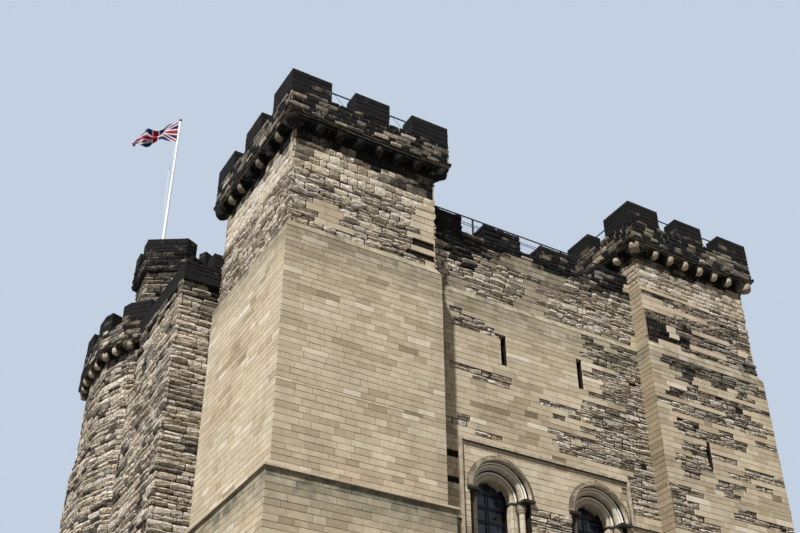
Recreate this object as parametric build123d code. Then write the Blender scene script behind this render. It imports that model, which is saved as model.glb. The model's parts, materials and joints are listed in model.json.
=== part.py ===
from build123d import *
import math
import os

# A square stone keep: four corner turrets, thick walls round one hall, battered foot.
# Millimetres, +Z up, origin on the ground at the middle of the plan. South is -Y, west is -X.

# Plan, at the faces of the main stage
plan_x = 17100
plan_y = 19000
turret_x = 4750
turret_y = 4950
recess = 550
west_recess = 1300

# Levels above the ground
plinth_z = 2400
wall_offset_z = 10400
offset_low_z = 12750
offset_high_z = 12880
setback_low_z = 19800
setback_high_z = 20050
walk_z = 22000
wall_sill_z = 22280
wall_top_z = 22820
corbel_z = 23320
parapet_z = 23690
turret_deck_z = 23950
turret_sill_z = 24520
turret_top_z = 25240

# How far each stage stands out from the main stage's face
foot_out = 750
low_out = 150
upper_in = 120
parapet_out = 220

# Parapets
parapet_thick = 480
corner_merlon = 1200
middle_merlon = 1080
wall_merlon = 1270
wall_crenel = 890
short_crenel = 800
shortest_notched_side = 1300
string_high = 130
string_out = 50
offset_string_high = 70
offset_string_out = 70

# Corbels
corbel_pitch = 670
corbel_wide = 300
corbel_high = 310
corbel_tip = 70
corbel_shoulder = 210

# West buttress
buttress_start = 8300
buttress_end = 12450
buttress_deep = 2300
buttress_setback_z = 20650
buttress_coping_z = 23030
buttress_top_z = 23750
buttress_out = 100
buttress_merlon_x = 970
buttress_merlon_wide = 760
buttress_merlon_high = 620

# North-west turret: distances from the west and north faces
nw_reach = 5340
nw_cant = 490
nw_bow = 400
nw_bow_start = 3550
nw_bow_end = 1400
nw_tip_out = 160
nw_tip_in = 200

# Flag turret
flag_turret_x = 1900
flag_turret_y = 3050
flag_turret_r = 1600
flag_turret_turn = 27
flag_turret_in = 220
flag_string_z = 27650
flag_band_z = 28150
flag_sill_z = 28550
flag_top_z = 29200
flag_wall_thick = 330
flag_crenel = 620

# Flagpole and flag
pole_x = 1400
pole_y = 2500
pole_top_z = 37250
pole_foot_r = 75
pole_tip_r = 38
finial_r = 70
flag_length = 2300
flag_hoist = 1150
flag_thick = 160
flag_below = 60
flag_drop = 420
flag_angle = 150

# Hall and floors
hall_floor_z = 10000
floor_thick = 450
ground_floor_z = 300
roof_z = 21500
roof_thick = 500

# Round-headed windows: distances from the middle of a wall
window_spring_z = 13860
window_sill_z = 11300
window_offset = 1640
front_shift = -115
light_r = 550
inner_order_r = 760
outer_order_r = 960
hood_r = 1060
order_depth = 500
inner_order_step = 280
outer_order_step = 110
reveal_depth = 1100
embrasure_r = 900
hood_out = 130
hood_lap = 20
hood_slope = 0.6
roll_r = 55
roll_sunk = 0.8
small_roll_r = 38
small_roll_at = 160
backing_step = 60
glass_depth = 640
glass_thick = 20
seat_gap = 0.3
shaft_r = 85
capital_high = 250
capital_r = 135
abacus_high = 80
abacus_out = 60
base_high = 180
base_swell = 1.25
necking = 40

# Label frame round each pair of windows
label_top_z = 15230
label_wide = 85
label_out = 120
label_half = 2870
label_shift = -170
label_foot_z = 11300
label_return_z = 13930
label_left_return_z = 12980

# Slits
slit_low_z = 17850
slit_high_z = 18850
slit_wide = 200
slit_inner_wide = 800
slit_mouth = 350
slit_offset = 1365

# Stair slit in the south-east turret
stair_slit_x = 5600
stair_slit_low_z = 16050
stair_slit_high_z = 16970
stair_slit_wide = 150
stair_slit_deep = 900

# Doorway
door_half = 750
door_spring_z = 2100

# Railing
post_r = 22
rail_r = 16
rail_high = 1430
rail_middle = 750
rail_back = 90
rail_clear = 320
post_pitch = 1900
turret_rail_high = 1560

west = -plan_x / 2
east = plan_x / 2
south = -plan_y / 2
north = plan_y / 2
hall_west = west + turret_x
hall_east = east - turret_x
hall_south = south + turret_y
hall_north = north - turret_y
far = 3 * plan_y

nodes = {}


def north_west_corner(deeper=0):
    """Outline of the canted north-west turret, from the west wall round to the north wall."""
    side = [
        (recess + deeper, nw_reach + deeper),
        (recess - nw_cant, nw_reach - nw_cant),
        (-nw_bow, nw_bow_start),
        (-nw_bow, nw_bow_end),
        (-nw_tip_out, nw_tip_in),
    ]
    facing_west = [(west + a, north - b) for a, b in side]
    facing_north = [(west + b, north - a) for a, b in reversed(side)]
    return facing_west + facing_north


def outline(deeper=0):
    """The whole keep at its main stage. The walls can stand deeper between the turrets."""
    inset = recess + deeper
    bay_x = west + west_recess + deeper
    points = [
        (west, south),
        (west, hall_south),
        (bay_x, hall_south),
        (bay_x, south + buttress_start),
        (west - buttress_out, south + buttress_start),
        (west - buttress_out, south + buttress_end),
        (west + inset, south + buttress_end),
    ]
    points += north_west_corner(deeper)
    points += [
        (hall_east, north - inset),
        (hall_east, north),
        (east, north),
        (east, hall_north),
        (east - inset, hall_north),
        (east - inset, hall_south),
        (east, hall_south),
        (east, south),
        (hall_east, south),
        (hall_east, south + inset),
        (hall_west, south + inset),
        (hall_west, south),
    ]
    return points


def grown(points, amount):
    face = make_face(Polyline(*points, close=True))
    return offset(face, amount=amount, kind=Kind.INTERSECTION) if amount else face


def course(points, low_z, low_out_by, high_z, high_out_by, high_points=None):
    """One stage of masonry, upright, or sloped where its two outlines differ."""
    low = Pos(0, 0, low_z) * grown(points, low_out_by)
    if low_out_by == high_out_by and high_points is None:
        return extrude(low, amount=high_z - low_z)
    high = Pos(0, 0, high_z) * grown(high_points or points, high_out_by)
    return loft([low, high], ruled=True)


def masonry(setback_start, setback_by, top_z):
    """The keep's mass from the ground to top_z, with the hall left open."""
    points = outline()
    slope = setback_high_z - setback_low_z
    mass = course(points, 0, foot_out, plinth_z, low_out)
    flush = outline(low_out)
    mass += course(points, plinth_z, low_out, wall_offset_z, low_out)
    wall_offset_top = wall_offset_z + offset_high_z - offset_low_z
    mass += course(points, wall_offset_z, low_out, wall_offset_top, low_out, flush)
    mass += course(flush, wall_offset_top, low_out, offset_low_z, low_out)
    reach = low_out + offset_string_out
    strung = outline(reach)
    string_top = offset_low_z + offset_string_high
    mass += course(strung, offset_low_z, reach, string_top, reach)
    mass += course(strung, string_top, reach, offset_high_z, 0, points)
    mass += course(points, offset_high_z, 0, setback_start, 0)
    mass += course(points, setback_start, 0, setback_start + slope, -setback_by)
    mass += course(points, setback_start + slope, -setback_by, top_z, -setback_by)
    return mass - block(hall_west, hall_east, hall_south, hall_north, 0, top_z)


def block(x0, x1, y0, y1, z0, z1):
    return Pos((x0 + x1) / 2, (y0 + y1) / 2, (z0 + z1) / 2) * Box(x1 - x0, y1 - y0, z1 - z0)


def keep(name, *solids):
    """Record a node: one solid, or several that do not touch."""
    found = []
    for item in solids:
        found += list(item.solids())
    nodes[name] = Compound(label=name, children=found) if len(found) > 1 else found[0]


# Corbel tables and parapets


def crenel_cuts(points, thick, low_z, high_z):
    """Boxes that notch a parapet along every side long enough to carry a crenel."""
    cuts = []
    for (ax, ay), (bx, by) in zip(points, points[1:] + points[:1]):
        length = math.hypot(bx - ax, by - ay)
        if length < shortest_notched_side:
            continue
        along = ((bx - ax) / length, (by - ay) / length)
        if length > 2 * shortest_notched_side:
            wide = (length - 2 * corner_merlon - middle_merlon) / 2
            shift = (middle_merlon + wide) / 2
            middles = [length / 2 - shift, length / 2 + shift]
        else:
            wide = min(short_crenel, length / 2)
            middles = [length / 2]
        for middle in middles:
            at = (ax + along[0] * middle, ay + along[1] * middle, (low_z + high_z) / 2)
            place = Plane(origin=at, x_dir=(along[0], along[1], 0), z_dir=(0, 0, 1))
            cuts.append(place * Box(wide, 3 * thick, high_z - low_z))
    return cuts


def corbel_gap(wide):
    """The space between two corbels, which flares downwards and leaves each a rounded tongue."""
    flare = (corbel_wide - corbel_tip) / 2
    side = []
    for degrees in (0, 30, 60, 90):
        a = math.radians(degrees)
        side.append((wide / 2 + flare * (1 - math.cos(a)), corbel_shoulder * (1 - math.sin(a))))
    side.append((wide / 2 + flare, -1))
    top = corbel_high + 1
    right = [(wide / 2, top)] + side
    left = [(-x, z) for x, z in reversed(right)]
    return make_face(Polyline(*right, *left, close=True))


def corbel_gaps(points):
    """Cuts that part a moulding into corbels, with a corbel left at every corner."""
    cuts = []
    for (ax, ay), (bx, by) in zip(points, points[1:] + points[:1]):
        length = math.hypot(bx - ax, by - ay)
        spaces = max(1, round(length / corbel_pitch))
        along = ((bx - ax) / length, (by - ay) / length)
        gap = corbel_gap(length / spaces - corbel_wide)
        for k in range(spaces):
            middle = length * (k + 0.5) / spaces
            at = (ax + along[0] * middle, ay + along[1] * middle, corbel_z)
            place = Plane(origin=at, x_dir=(along[0], along[1], 0), z_dir=(along[1], -along[0], 0))
            cuts.append(extrude(place * gap, amount=2 * parapet_out, both=True))
    return cuts


def corners(face):
    """Corner points of a flat face, in order, with the outside on the left of each side."""
    starts = [edge @ 0 for edge in face.face().outer_wire().order_edges()]
    points = [(start.X, start.Y) for start in starts]
    area = sum(a[0] * b[1] - b[0] * a[1] for a, b in zip(points, points[1:] + points[:1]))
    return points if area < 0 else points[::-1]


def turret_parapet(points):
    """Corbel table, string and crenellated wall round the top of a turret's main outline."""
    steps = 4
    reach = parapet_out + upper_in
    table = None
    for k in range(steps):
        a = math.radians(90 * (k + 0.3) / (steps + 0.3))
        b = math.radians(90 * (k + 1.3) / (steps + 0.3))
        low = corbel_z + corbel_high * (1 - math.cos(a))
        high = corbel_z + corbel_high * (1 - math.cos(b))
        piece = course(points, low, -upper_in + reach * math.sin(a), high, -upper_in + reach * math.sin(b))
        table = piece if table is None else table + piece
    shaft = course(points, corbel_z - 1, -upper_in, parapet_z + 1, -upper_in)
    table = table - shaft
    shaft_points = corners(grown(points, -upper_in))
    table = table - corbel_gaps(shaft_points)
    wall = course(points, corbel_z + corbel_high, parapet_out, turret_top_z, parapet_out)
    string_reach = parapet_out + string_out
    wall += course(points, parapet_z, string_reach, parapet_z + string_high, string_reach)
    wall -= course(points, corbel_z, -upper_in, parapet_z, -upper_in)
    inner = parapet_out - parapet_thick
    wall -= course(points, parapet_z, inner, turret_top_z, inner)
    wall -= crenel_cuts(corners(grown(points, parapet_out)), parapet_thick, turret_sill_z, turret_top_z)
    return wall + table


def turret_top(points):
    """The shaft of a turret above the walls, up to the deck inside its parapet."""
    shaft = course(points, walk_z, -upper_in, parapet_z, -upper_in)
    inner = parapet_out - parapet_thick
    return shaft + course(points, parapet_z, inner, turret_deck_z, inner)


def rectangle(x0, x1, y0, y1):
    return [(x0, y0), (x0, y1), (x1, y1), (x1, y0)]


south_west = rectangle(west, hall_west, south, hall_south)
south_east = rectangle(hall_east, east, south, hall_south)
north_east = rectangle(hall_east, east, hall_north, north)
north_west = north_west_corner() + [(west + nw_reach, north - nw_reach)]

mass = masonry(setback_low_z, upper_in, walk_z)


def section(x0, x1, y0, y1, z0=0, z1=walk_z):
    """The part of the keep's masonry that lies in a box."""
    return mass & block(x0, x1, y0, y1, z0, z1)


keep("south_west_turret", section(-far, hall_west, -far, hall_south) + turret_top(south_west))
stair_slit_half = stair_slit_wide / 2
stair_slit = block(
    stair_slit_x - stair_slit_half,
    stair_slit_x + stair_slit_half,
    south - foot_out,
    south + stair_slit_deep,
    stair_slit_low_z,
    stair_slit_high_z,
)
south_east_mass = section(hall_east, far, -far, hall_south) + turret_top(south_east)
keep("south_east_turret", south_east_mass - stair_slit)
keep("north_east_turret", section(hall_east, far, hall_north, far) + turret_top(north_east))
keep(
    "north_west_turret",
    section(-far, west + nw_reach, north - nw_reach, far) + turret_top(north_west),
)
keep("south_west_parapet", turret_parapet(south_west))
keep("south_east_parapet", turret_parapet(south_east))
keep("north_east_parapet", turret_parapet(north_east))
keep("north_west_parapet", turret_parapet(north_west))

# Walls, split in bands so that each band is plain beside its openings. A wall's own frame has
# its middle on the outer face at ground level, +X along the wall to the right, +Y inwards.

front = Plane(origin=(0, south + recess, 0), x_dir=(1, 0, 0), z_dir=(0, 0, 1))
side = Plane(origin=(east - recess, 0, 0), x_dir=(0, 1, 0), z_dir=(0, 0, 1))
door_x = (hall_east + west + nw_reach) / 2
back = Plane(origin=(door_x, north - recess, 0), x_dir=(-1, 0, 0), z_dir=(0, 0, 1))
wall_deep = turret_y - recess


def round_headed(half, sill_z, spring_z, near, far_side):
    """A round-headed opening through a wall's own frame, between two depths."""
    upright = spring_z - sill_z
    shape = Rectangle(2 * half, upright, align=(Align.CENTER, Align.MAX)) + Circle(half)
    shape -= Pos(0, -upright) * Rectangle(2 * half, 2 * half, align=(Align.CENTER, Align.MAX))
    plane = Plane(origin=(0, near, spring_z), x_dir=(1, 0, 0), z_dir=(0, -1, 0))
    return extrude(plane * shape, amount=-(far_side - near))


def window_cut():
    cut = round_headed(outer_order_r, window_sill_z, window_spring_z, -foot_out, order_depth)
    cut += round_headed(light_r, window_sill_z, window_spring_z, 0, reveal_depth + 1)
    cut += round_headed(embrasure_r, window_sill_z, window_spring_z, reveal_depth, wall_deep + foot_out)
    return cut


def slit_cut():
    """A slit that widens inwards, in plan only, so that its sill and head stay level."""
    outline_points = [
        (-slit_wide / 2, -foot_out),
        (slit_wide / 2, -foot_out),
        (slit_wide / 2, slit_mouth),
        (slit_inner_wide / 2, wall_deep + 1),
        (-slit_inner_wide / 2, wall_deep + 1),
        (-slit_wide / 2, slit_mouth),
    ]
    plan = make_face(Polyline(*outline_points, close=True))
    return extrude(Pos(0, 0, slit_low_z) * plan, amount=slit_high_z - slit_low_z)


def pair(cut, offset_x, shift):
    return [Pos(shift - offset_x, 0, 0) * cut, Pos(shift + offset_x, 0, 0) * cut]


def wall_bands(name, frame, shift, box):
    """The bands of a wall that has two windows and two slits."""
    windows = [frame * cut for cut in pair(window_cut(), window_offset, shift)]
    slits = [frame * cut for cut in pair(slit_cut(), slit_offset, 0)]
    arch_top = slit_low_z
    keep(name + "_lower", section(*box, 0, window_sill_z))
    keep(name + "_window_piers", section(*box, window_sill_z, window_spring_z) - windows)
    keep(name + "_arches", section(*box, window_spring_z, arch_top) - windows)
    keep(name + "_slit_piers", section(*box, arch_top, slit_high_z) - slits)
    keep(name + "_top", section(*box, slit_high_z, walk_z))


wall_bands("south_wall", front, front_shift, (hall_west, hall_east, -far, hall_south))
wall_bands("east_wall", side, 0, (hall_east, far, hall_south, hall_north))

north_box = (west + nw_reach, hall_east, hall_north, far)
door = back * round_headed(door_half, -1, door_spring_z, -2 * foot_out, wall_deep + foot_out)
slits = [back * cut for cut in pair(slit_cut(), slit_offset, 0)]
keep("north_wall_door_jambs", section(*north_box, 0, door_spring_z) - door)
keep("north_wall", section(*north_box, door_spring_z, slit_low_z) - door)
keep("north_wall_slit_piers", section(*north_box, slit_low_z, slit_high_z) - slits)
keep("north_wall_top", section(*north_box, slit_high_z, walk_z))

buttress_mass = masonry(buttress_setback_z, buttress_out, buttress_coping_z)
buttress_x = west + buttress_deep
buttress_y = (south + buttress_start, south + buttress_end)
buttress_space = block(-far, buttress_x, *buttress_y, 0, far)
keep("west_buttress", buttress_mass & block(-far, buttress_x, *buttress_y, 0, buttress_coping_z))
keep("west_wall", section(-far, hall_west, hall_south, north - nw_reach) - buttress_space)

# Parapets of the walls and of the buttress


def wall_parapet(x0, x1, y0, y1):
    """A crenellated parapet along a straight wall, with merlons at both ends."""
    wall = block(x0, x1, y0, y1, walk_z, wall_top_z)
    along_x = x1 - x0 > y1 - y0
    length = x1 - x0 if along_x else y1 - y0
    count = round(length / (wall_merlon + wall_crenel) - 0.4)
    pitch = wall_merlon + wall_crenel
    upright = (Align.CENTER, Align.CENTER, Align.MIN)
    for k in range(count):
        middle = (k - (count - 1) / 2) * pitch
        notch = Box(wall_crenel, wall_crenel, wall_top_z - wall_sill_z, align=upright)
        x, y = (middle, 0) if along_x else (0, middle)
        wall -= Pos((x0 + x1) / 2 + x, (y0 + y1) / 2 + y, wall_sill_z) * notch
    return wall


face_in = recess + upper_in
back_in = face_in + parapet_thick
along_x = (hall_west - upper_in, hall_east + upper_in)
along_y = (hall_south - upper_in, hall_north + upper_in)
keep("south_parapet", wall_parapet(*along_x, south + face_in, south + back_in))
keep("north_parapet", wall_parapet(west + nw_reach, along_x[1], north - back_in, north - face_in))
keep("east_parapet", wall_parapet(east - back_in, east - face_in, *along_y))
bay_face = west + west_recess + upper_in
keep("west_parapet", wall_parapet(bay_face, bay_face + parapet_thick, along_y[0], south + buttress_start))

coping = block(west, buttress_x, *buttress_y, buttress_coping_z, buttress_top_z)
coping_inner_x = (west + parapet_thick, buttress_x - parapet_thick)
coping_inner_y = (buttress_y[0] + parapet_thick, buttress_y[1] - parapet_thick)
coping -= block(*coping_inner_x, *coping_inner_y, buttress_coping_z, far)
merlon_x = (west + buttress_merlon_x, west + buttress_merlon_x + buttress_merlon_wide)
merlon_top = buttress_top_z + buttress_merlon_high
coping += block(*merlon_x, buttress_y[0], coping_inner_y[0], buttress_top_z, merlon_top)
keep("west_buttress_parapet", coping)

# Floors and roof

hall = (hall_west, hall_east, hall_south, hall_north)
keep("ground_floor", block(*hall, 0, ground_floor_z))
keep("hall_floor", block(*hall, hall_floor_z - floor_thick, hall_floor_z))
keep("roof_deck", block(*hall, roof_z - roof_thick, roof_z))

# Window surrounds: one stepped profile goes round the arch and down both jambs


def order_profile(inner, outer, near):
    """Section of one arch order, square behind with a roll on its front arris."""
    square = make_face(
        Polyline((inner, near), (outer, near), (outer, order_depth), (inner, order_depth), close=True)
    )
    sunk = roll_r * roll_sunk
    return square + Pos(inner + sunk, near + sunk) * Circle(roll_r)


def arch(profile):
    """Turn a section (radius, depth) half way round the window's middle at the springing."""
    lifted = Pos(0, 0, window_spring_z) * profile
    return revolve(lifted, axis=Axis((0, 0, window_spring_z), (0, 1, 0)), revolution_arc=-180)


def jambs(profile, low_z, high_z):
    right = extrude(Pos(0, 0, low_z) * profile, amount=high_z - low_z)
    return right + mirror(right, about=Plane.YZ)


def nook_shaft(height):
    """A shaft with a moulded base and a cushion capital, turned in one piece."""
    line = Polyline(
        (0, 0),
        (capital_r, 0),
        (capital_r, base_high / 2),
        (shaft_r * base_swell, base_high * 0.8),
        (shaft_r, base_high),
        (shaft_r, height - capital_high),
        (shaft_r * base_swell, height - capital_high + necking),
        (capital_r, height - capital_high / 2),
        (capital_r, height),
        (0, height),
        close=True,
    )
    return revolve(Plane.XZ * make_face(line), axis=Axis.Z)


def window_surround():
    """Hood, two orders, nook shafts and abaci of one window, in its wall's own frame."""
    inner = order_profile(light_r, inner_order_r, inner_order_step)
    outer = order_profile(inner_order_r, outer_order_r, outer_order_step)
    outer += Pos(inner_order_r + small_roll_at, outer_order_step) * Circle(small_roll_r)
    hood_inner = outer_order_r - hood_lap
    hood = make_face(
        Polyline(
            (hood_inner, -hood_out),
            (hood_r, -hood_out * hood_slope),
            (hood_r, 0),
            (hood_inner, 0),
            close=True,
        )
    )
    backing = make_face(
        Polyline(
            (inner_order_r, inner_order_step + backing_step),
            (outer_order_r, inner_order_step + backing_step),
            (outer_order_r, order_depth),
            (inner_order_r, order_depth),
            close=True,
        )
    )
    abacus_low = window_spring_z - abacus_high
    shape = arch(inner) + arch(outer) + arch(hood)
    shape += jambs(inner, window_sill_z, window_spring_z)
    shape += jambs(backing, window_sill_z, window_spring_z)
    shaft_at = outer_order_r - capital_r
    for sign in (-1, 1):
        shaft = nook_shaft(abacus_low - window_sill_z)
        shape += Pos(sign * shaft_at, inner_order_step - shaft_r, window_sill_z) * shaft
        abacus_z = window_spring_z - abacus_high / 2
        abacus_start = inner_order_r - abacus_out
        plate = Box(outer_order_r - abacus_start, order_depth, abacus_high)
        shape += Pos(sign * (outer_order_r + abacus_start) / 2, order_depth / 2, abacus_z) * plate
        nosing = Box(hood_r - abacus_start, hood_out, abacus_high)
        shape += Pos(sign * (hood_r + abacus_start) / 2, -hood_out / 2, abacus_z) * nosing
    return shape


def glass_pane():
    clear = light_r - seat_gap
    return round_headed(clear, window_sill_z, window_spring_z, glass_depth, glass_depth + glass_thick)


def label_frame(half, return_left, return_right):
    """Raised frame on the wall's face, over the windows and down both sides."""

    def bar(x0, x1, z0, z1):
        return block(x0, x1, -label_out, 0, z0, z1)

    wide = label_wide
    right_low = label_return_z if return_right else label_foot_z
    shape = bar(-half, half, label_top_z - wide, label_top_z)
    shape += bar(-half, wide - half, label_foot_z, label_top_z)
    shape += bar(half - wide, half, right_low, label_top_z)
    if return_right:
        shape += bar(half - wide, return_right, label_return_z - wide, label_return_z)
    if return_left:
        shape += bar(return_left, wide - half, label_left_return_z - wide, label_left_return_z)
    return shape


surround = window_surround()
pane = glass_pane()
front_half = (hall_east - hall_west) / 2
keep("south_window_surrounds", *[front * item for item in pair(surround, window_offset, front_shift)])
keep("east_window_surrounds", *[side * item for item in pair(surround, window_offset, 0)])
keep("south_window_glass", *[front * item for item in pair(pane, window_offset, front_shift)])
keep("east_window_glass", *[side * item for item in pair(pane, window_offset, 0)])
south_returns = (-front_half - label_shift, front_half - label_shift)
south_label = Pos(label_shift, 0, 0) * label_frame(label_half, *south_returns)
keep("south_label_frame", front * south_label)
keep("east_label_frame", side * label_frame(label_half, 0, 0))

# Flag turret, flagpole and flag


def six_sided(radius):
    turn = flag_turret_turn
    middle = (west + flag_turret_x, north - flag_turret_y)
    angles = [math.radians(turn - 60 * k) for k in range(6)]
    return [(middle[0] + radius * math.cos(a), middle[1] + radius * math.sin(a)) for a in angles]


flag_outer = six_sided(flag_turret_r)
flag_shaft = six_sided(flag_turret_r - flag_turret_in)
flag_inner = six_sided(flag_turret_r - flag_wall_thick)
keep("flag_turret", course(flag_shaft, turret_deck_z, 0, flag_string_z, 0))
flag_wall = course(flag_outer, flag_string_z, 0, flag_top_z, 0)
flag_wall -= course(flag_inner, flag_band_z, 0, flag_top_z, 0)
crenels = []
for k in range(1, 6, 2):
    (ax, ay), (bx, by) = flag_outer[k], flag_outer[(k + 1) % 6]
    at = ((ax + bx) / 2, (ay + by) / 2, (flag_sill_z + flag_top_z) / 2)
    place = Plane(origin=at, x_dir=(bx - ax, by - ay, 0), z_dir=(0, 0, 1))
    crenels.append(place * Box(flag_crenel, 3 * flag_wall_thick, flag_top_z - flag_sill_z))
keep("flag_turret_parapet", flag_wall - crenels)

pole_at = (west + pole_x, north - pole_y)
pole_line = Polyline(
    (0, flag_band_z),
    (pole_foot_r, flag_band_z),
    (pole_tip_r, pole_top_z - 2 * finial_r),
    (0, pole_top_z - 2 * finial_r),
    close=True,
)
pole = revolve(Plane.XZ * make_face(pole_line), axis=Axis.Z)
pole += Pos(0, 0, pole_top_z - finial_r) * Sphere(finial_r)
keep("flagpole", Pos(*pole_at, 0) * pole)

flag_top = pole_top_z - 2 * finial_r - flag_below
hoist_share = (flag_top - flag_hoist - flag_band_z) / (pole_top_z - 2 * finial_r - flag_band_z)
hoist_at = pole_foot_r + (pole_tip_r - pole_foot_r) * hoist_share + seat_gap
flag_line = Polyline(
    (0, 0),
    (flag_length * 0.5, -flag_drop * 0.5),
    (flag_length, -flag_drop * 2),
    (flag_length, -flag_drop * 2 - flag_hoist * 0.35),
    (flag_length * 0.5, -flag_drop * 0.6 - flag_hoist * 0.75),
    (0, -flag_hoist),
    close=True,
)
flag = extrude(Plane.XZ * make_face(flag_line), amount=flag_thick / 2, both=True)
keep("flag", Pos(*pole_at, flag_top) * Rot(0, 0, flag_angle) * Pos(hoist_at, 0, 0) * flag)

# Railings behind the parapets


def railing(start, finish, foot_z, high, end_posts=True):
    """Posts and two rails between two points, in one solid."""
    length = math.dist(start, finish)
    along = ((finish[0] - start[0]) / length, (finish[1] - start[1]) / length, 0)
    spaces = max(1, round(length / post_pitch))
    place = Plane(origin=(start[0], start[1], foot_z), x_dir=along, z_dir=(0, 0, 1))
    lift = Align.CENTER, Align.CENTER, Align.MIN
    shape = None
    stations = range(spaces + 1) if end_posts else range(1, spaces)
    for k in stations:
        at = post_r + (length - 2 * post_r) * k / spaces
        post = Pos(at, 0, 0) * Box(2 * post_r, 2 * post_r, high, align=lift)
        shape = post if shape is None else shape + post
    for level in (rail_middle, high - rail_r):
        shape += Pos(length / 2, 0, level) * Box(length, 2 * rail_r, 2 * rail_r)
    return place * shape


rail_in = back_in + rail_back
gap = rail_clear
rail_south = south + rail_in
rail_north = north - rail_in
rail_east = east - rail_in
keep(
    "wall_walk_railing",
    railing((hall_west + gap, rail_south), (hall_east - gap, rail_south), walk_z, rail_high),
    railing((west + nw_reach + gap, rail_north), (hall_east - gap, rail_north), walk_z, rail_high),
    railing((rail_east, hall_south + gap), (rail_east, hall_north - gap), walk_z, rail_high),
)


def turret_railing(x0, x1, y0, y1):
    """Four straight runs round a deck. The corner posts belong to the runs along X."""
    inner = parapet_thick - parapet_out + rail_back
    a, b, c, d = x0 + inner, x1 - inner, y0 + inner, y1 - inner
    clear = post_r + seat_gap
    runs = [railing((a, y), (b, y), turret_deck_z, turret_rail_high) for y in (c, d)]
    for x in (a + post_r, b - post_r):
        start, finish = (x, c + clear), (x, d - clear)
        runs.append(railing(start, finish, turret_deck_z, turret_rail_high, end_posts=False))
    return runs


keep(
    "turret_railings",
    *turret_railing(west, hall_west, south, hall_south),
    *turret_railing(hall_east, east, south, hall_south),
    *turret_railing(hall_east, east, hall_north, north),
)

os.makedirs("parts", exist_ok=True)
for name, shape in nodes.items():
    export_step(shape, f"parts/{name}.step")
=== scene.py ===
import json
import math
import random

import bpy
import numpy as np
from mathutils import Matrix, Vector, geometry, noise
from mathutils.bvhtree import BVHTree


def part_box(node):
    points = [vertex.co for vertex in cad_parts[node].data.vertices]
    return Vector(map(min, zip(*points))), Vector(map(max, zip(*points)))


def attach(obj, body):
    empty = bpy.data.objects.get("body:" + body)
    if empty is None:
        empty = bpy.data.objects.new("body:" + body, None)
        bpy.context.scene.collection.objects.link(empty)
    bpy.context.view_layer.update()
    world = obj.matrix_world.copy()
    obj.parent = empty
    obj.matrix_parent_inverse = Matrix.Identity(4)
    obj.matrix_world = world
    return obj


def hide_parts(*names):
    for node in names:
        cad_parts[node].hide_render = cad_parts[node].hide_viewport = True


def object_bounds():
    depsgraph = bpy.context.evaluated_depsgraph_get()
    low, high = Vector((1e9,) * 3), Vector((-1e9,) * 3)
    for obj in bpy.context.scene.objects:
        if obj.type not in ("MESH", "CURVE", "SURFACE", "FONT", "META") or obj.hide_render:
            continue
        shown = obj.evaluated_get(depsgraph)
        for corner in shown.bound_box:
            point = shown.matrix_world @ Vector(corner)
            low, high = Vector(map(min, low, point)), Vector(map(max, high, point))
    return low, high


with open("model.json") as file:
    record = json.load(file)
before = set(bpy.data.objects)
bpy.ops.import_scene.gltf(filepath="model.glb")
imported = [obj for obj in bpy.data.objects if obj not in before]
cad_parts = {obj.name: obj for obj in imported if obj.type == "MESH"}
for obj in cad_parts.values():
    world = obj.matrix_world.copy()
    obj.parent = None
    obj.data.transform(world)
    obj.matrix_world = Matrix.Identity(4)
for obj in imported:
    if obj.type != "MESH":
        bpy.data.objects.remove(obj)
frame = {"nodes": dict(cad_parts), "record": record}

# Square stone keep: south is -Y, west is -X, metres, ground at z = 0

nodes = frame["nodes"]
slotOf = {row["node"]: row["material_slot"] for row in frame["record"]["subparts"]}
masonrySlots = ("ashlar", "rubble", "sooty_stone")
masonry = sorted(name for name in nodes if slotOf[name] in masonrySlots)
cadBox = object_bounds()

# Places read from the CAD part

hallLow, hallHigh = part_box("hall_floor")
buttressLow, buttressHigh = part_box("west_buttress_parapet")
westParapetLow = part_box("west_parapet")[0]
flagTurretLow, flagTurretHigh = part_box("flag_turret")
poleLow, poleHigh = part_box("flagpole")
southGlassLow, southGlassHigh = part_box("south_window_glass")
eastGlassLow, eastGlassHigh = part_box("east_window_glass")
lightRadius = 0.55      # of each window's light, inside its surround
hoodOut = 0.13          # how far the hoods stand out from the walls
springHeight = southGlassHigh.z - lightRadius
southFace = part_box("south_window_surrounds")[0].y + hoodOut
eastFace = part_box("east_window_surrounds")[1].x - hoodOut

# Camera, light and floor

cameraSet = {
    "eye": (-18.053, -31.785, 1.6),
    "turn": 30.179,     # degrees from north round to the east
    "tilt": 35.034,     # degrees above level
    "roll": -0.12,
    "lens": 51.24,      # mm on a 36 mm wide sensor
}

lightSet = {
    "sunTurn": 53,      # degrees from south round to the west
    "sunHeight": 47,
    "sunStrength": 5.88,
    "sunSoftness": 3,   # degrees across
    "skyStrength": 0.24,
    "backdrop": (0.54, 0.63, 0.75, 1),
    "floorSeen": (0.74, 0.745, 0.75, 1),
    "floorLit": (0.17, 0.165, 0.155, 1),
    "floorReach": 260,
}


def makeCamera():
    data = bpy.data.cameras.new("viewCamera")
    data.sensor_width = 36
    data.lens = cameraSet["lens"]
    data.clip_end = 1000
    camera = bpy.data.objects.new("viewCamera", data)
    bpy.context.scene.collection.objects.link(camera)
    turn, tilt, roll = (math.radians(cameraSet[k]) for k in ("turn", "tilt", "roll"))
    aim = Matrix.Rotation(-turn, 4, "Z") @ Matrix.Rotation(math.pi / 2 + tilt, 4, "X")
    camera.matrix_world = Matrix.Translation(cameraSet["eye"]) @ aim @ Matrix.Rotation(roll, 4, "Z")
    bpy.context.scene.camera = camera


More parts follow.
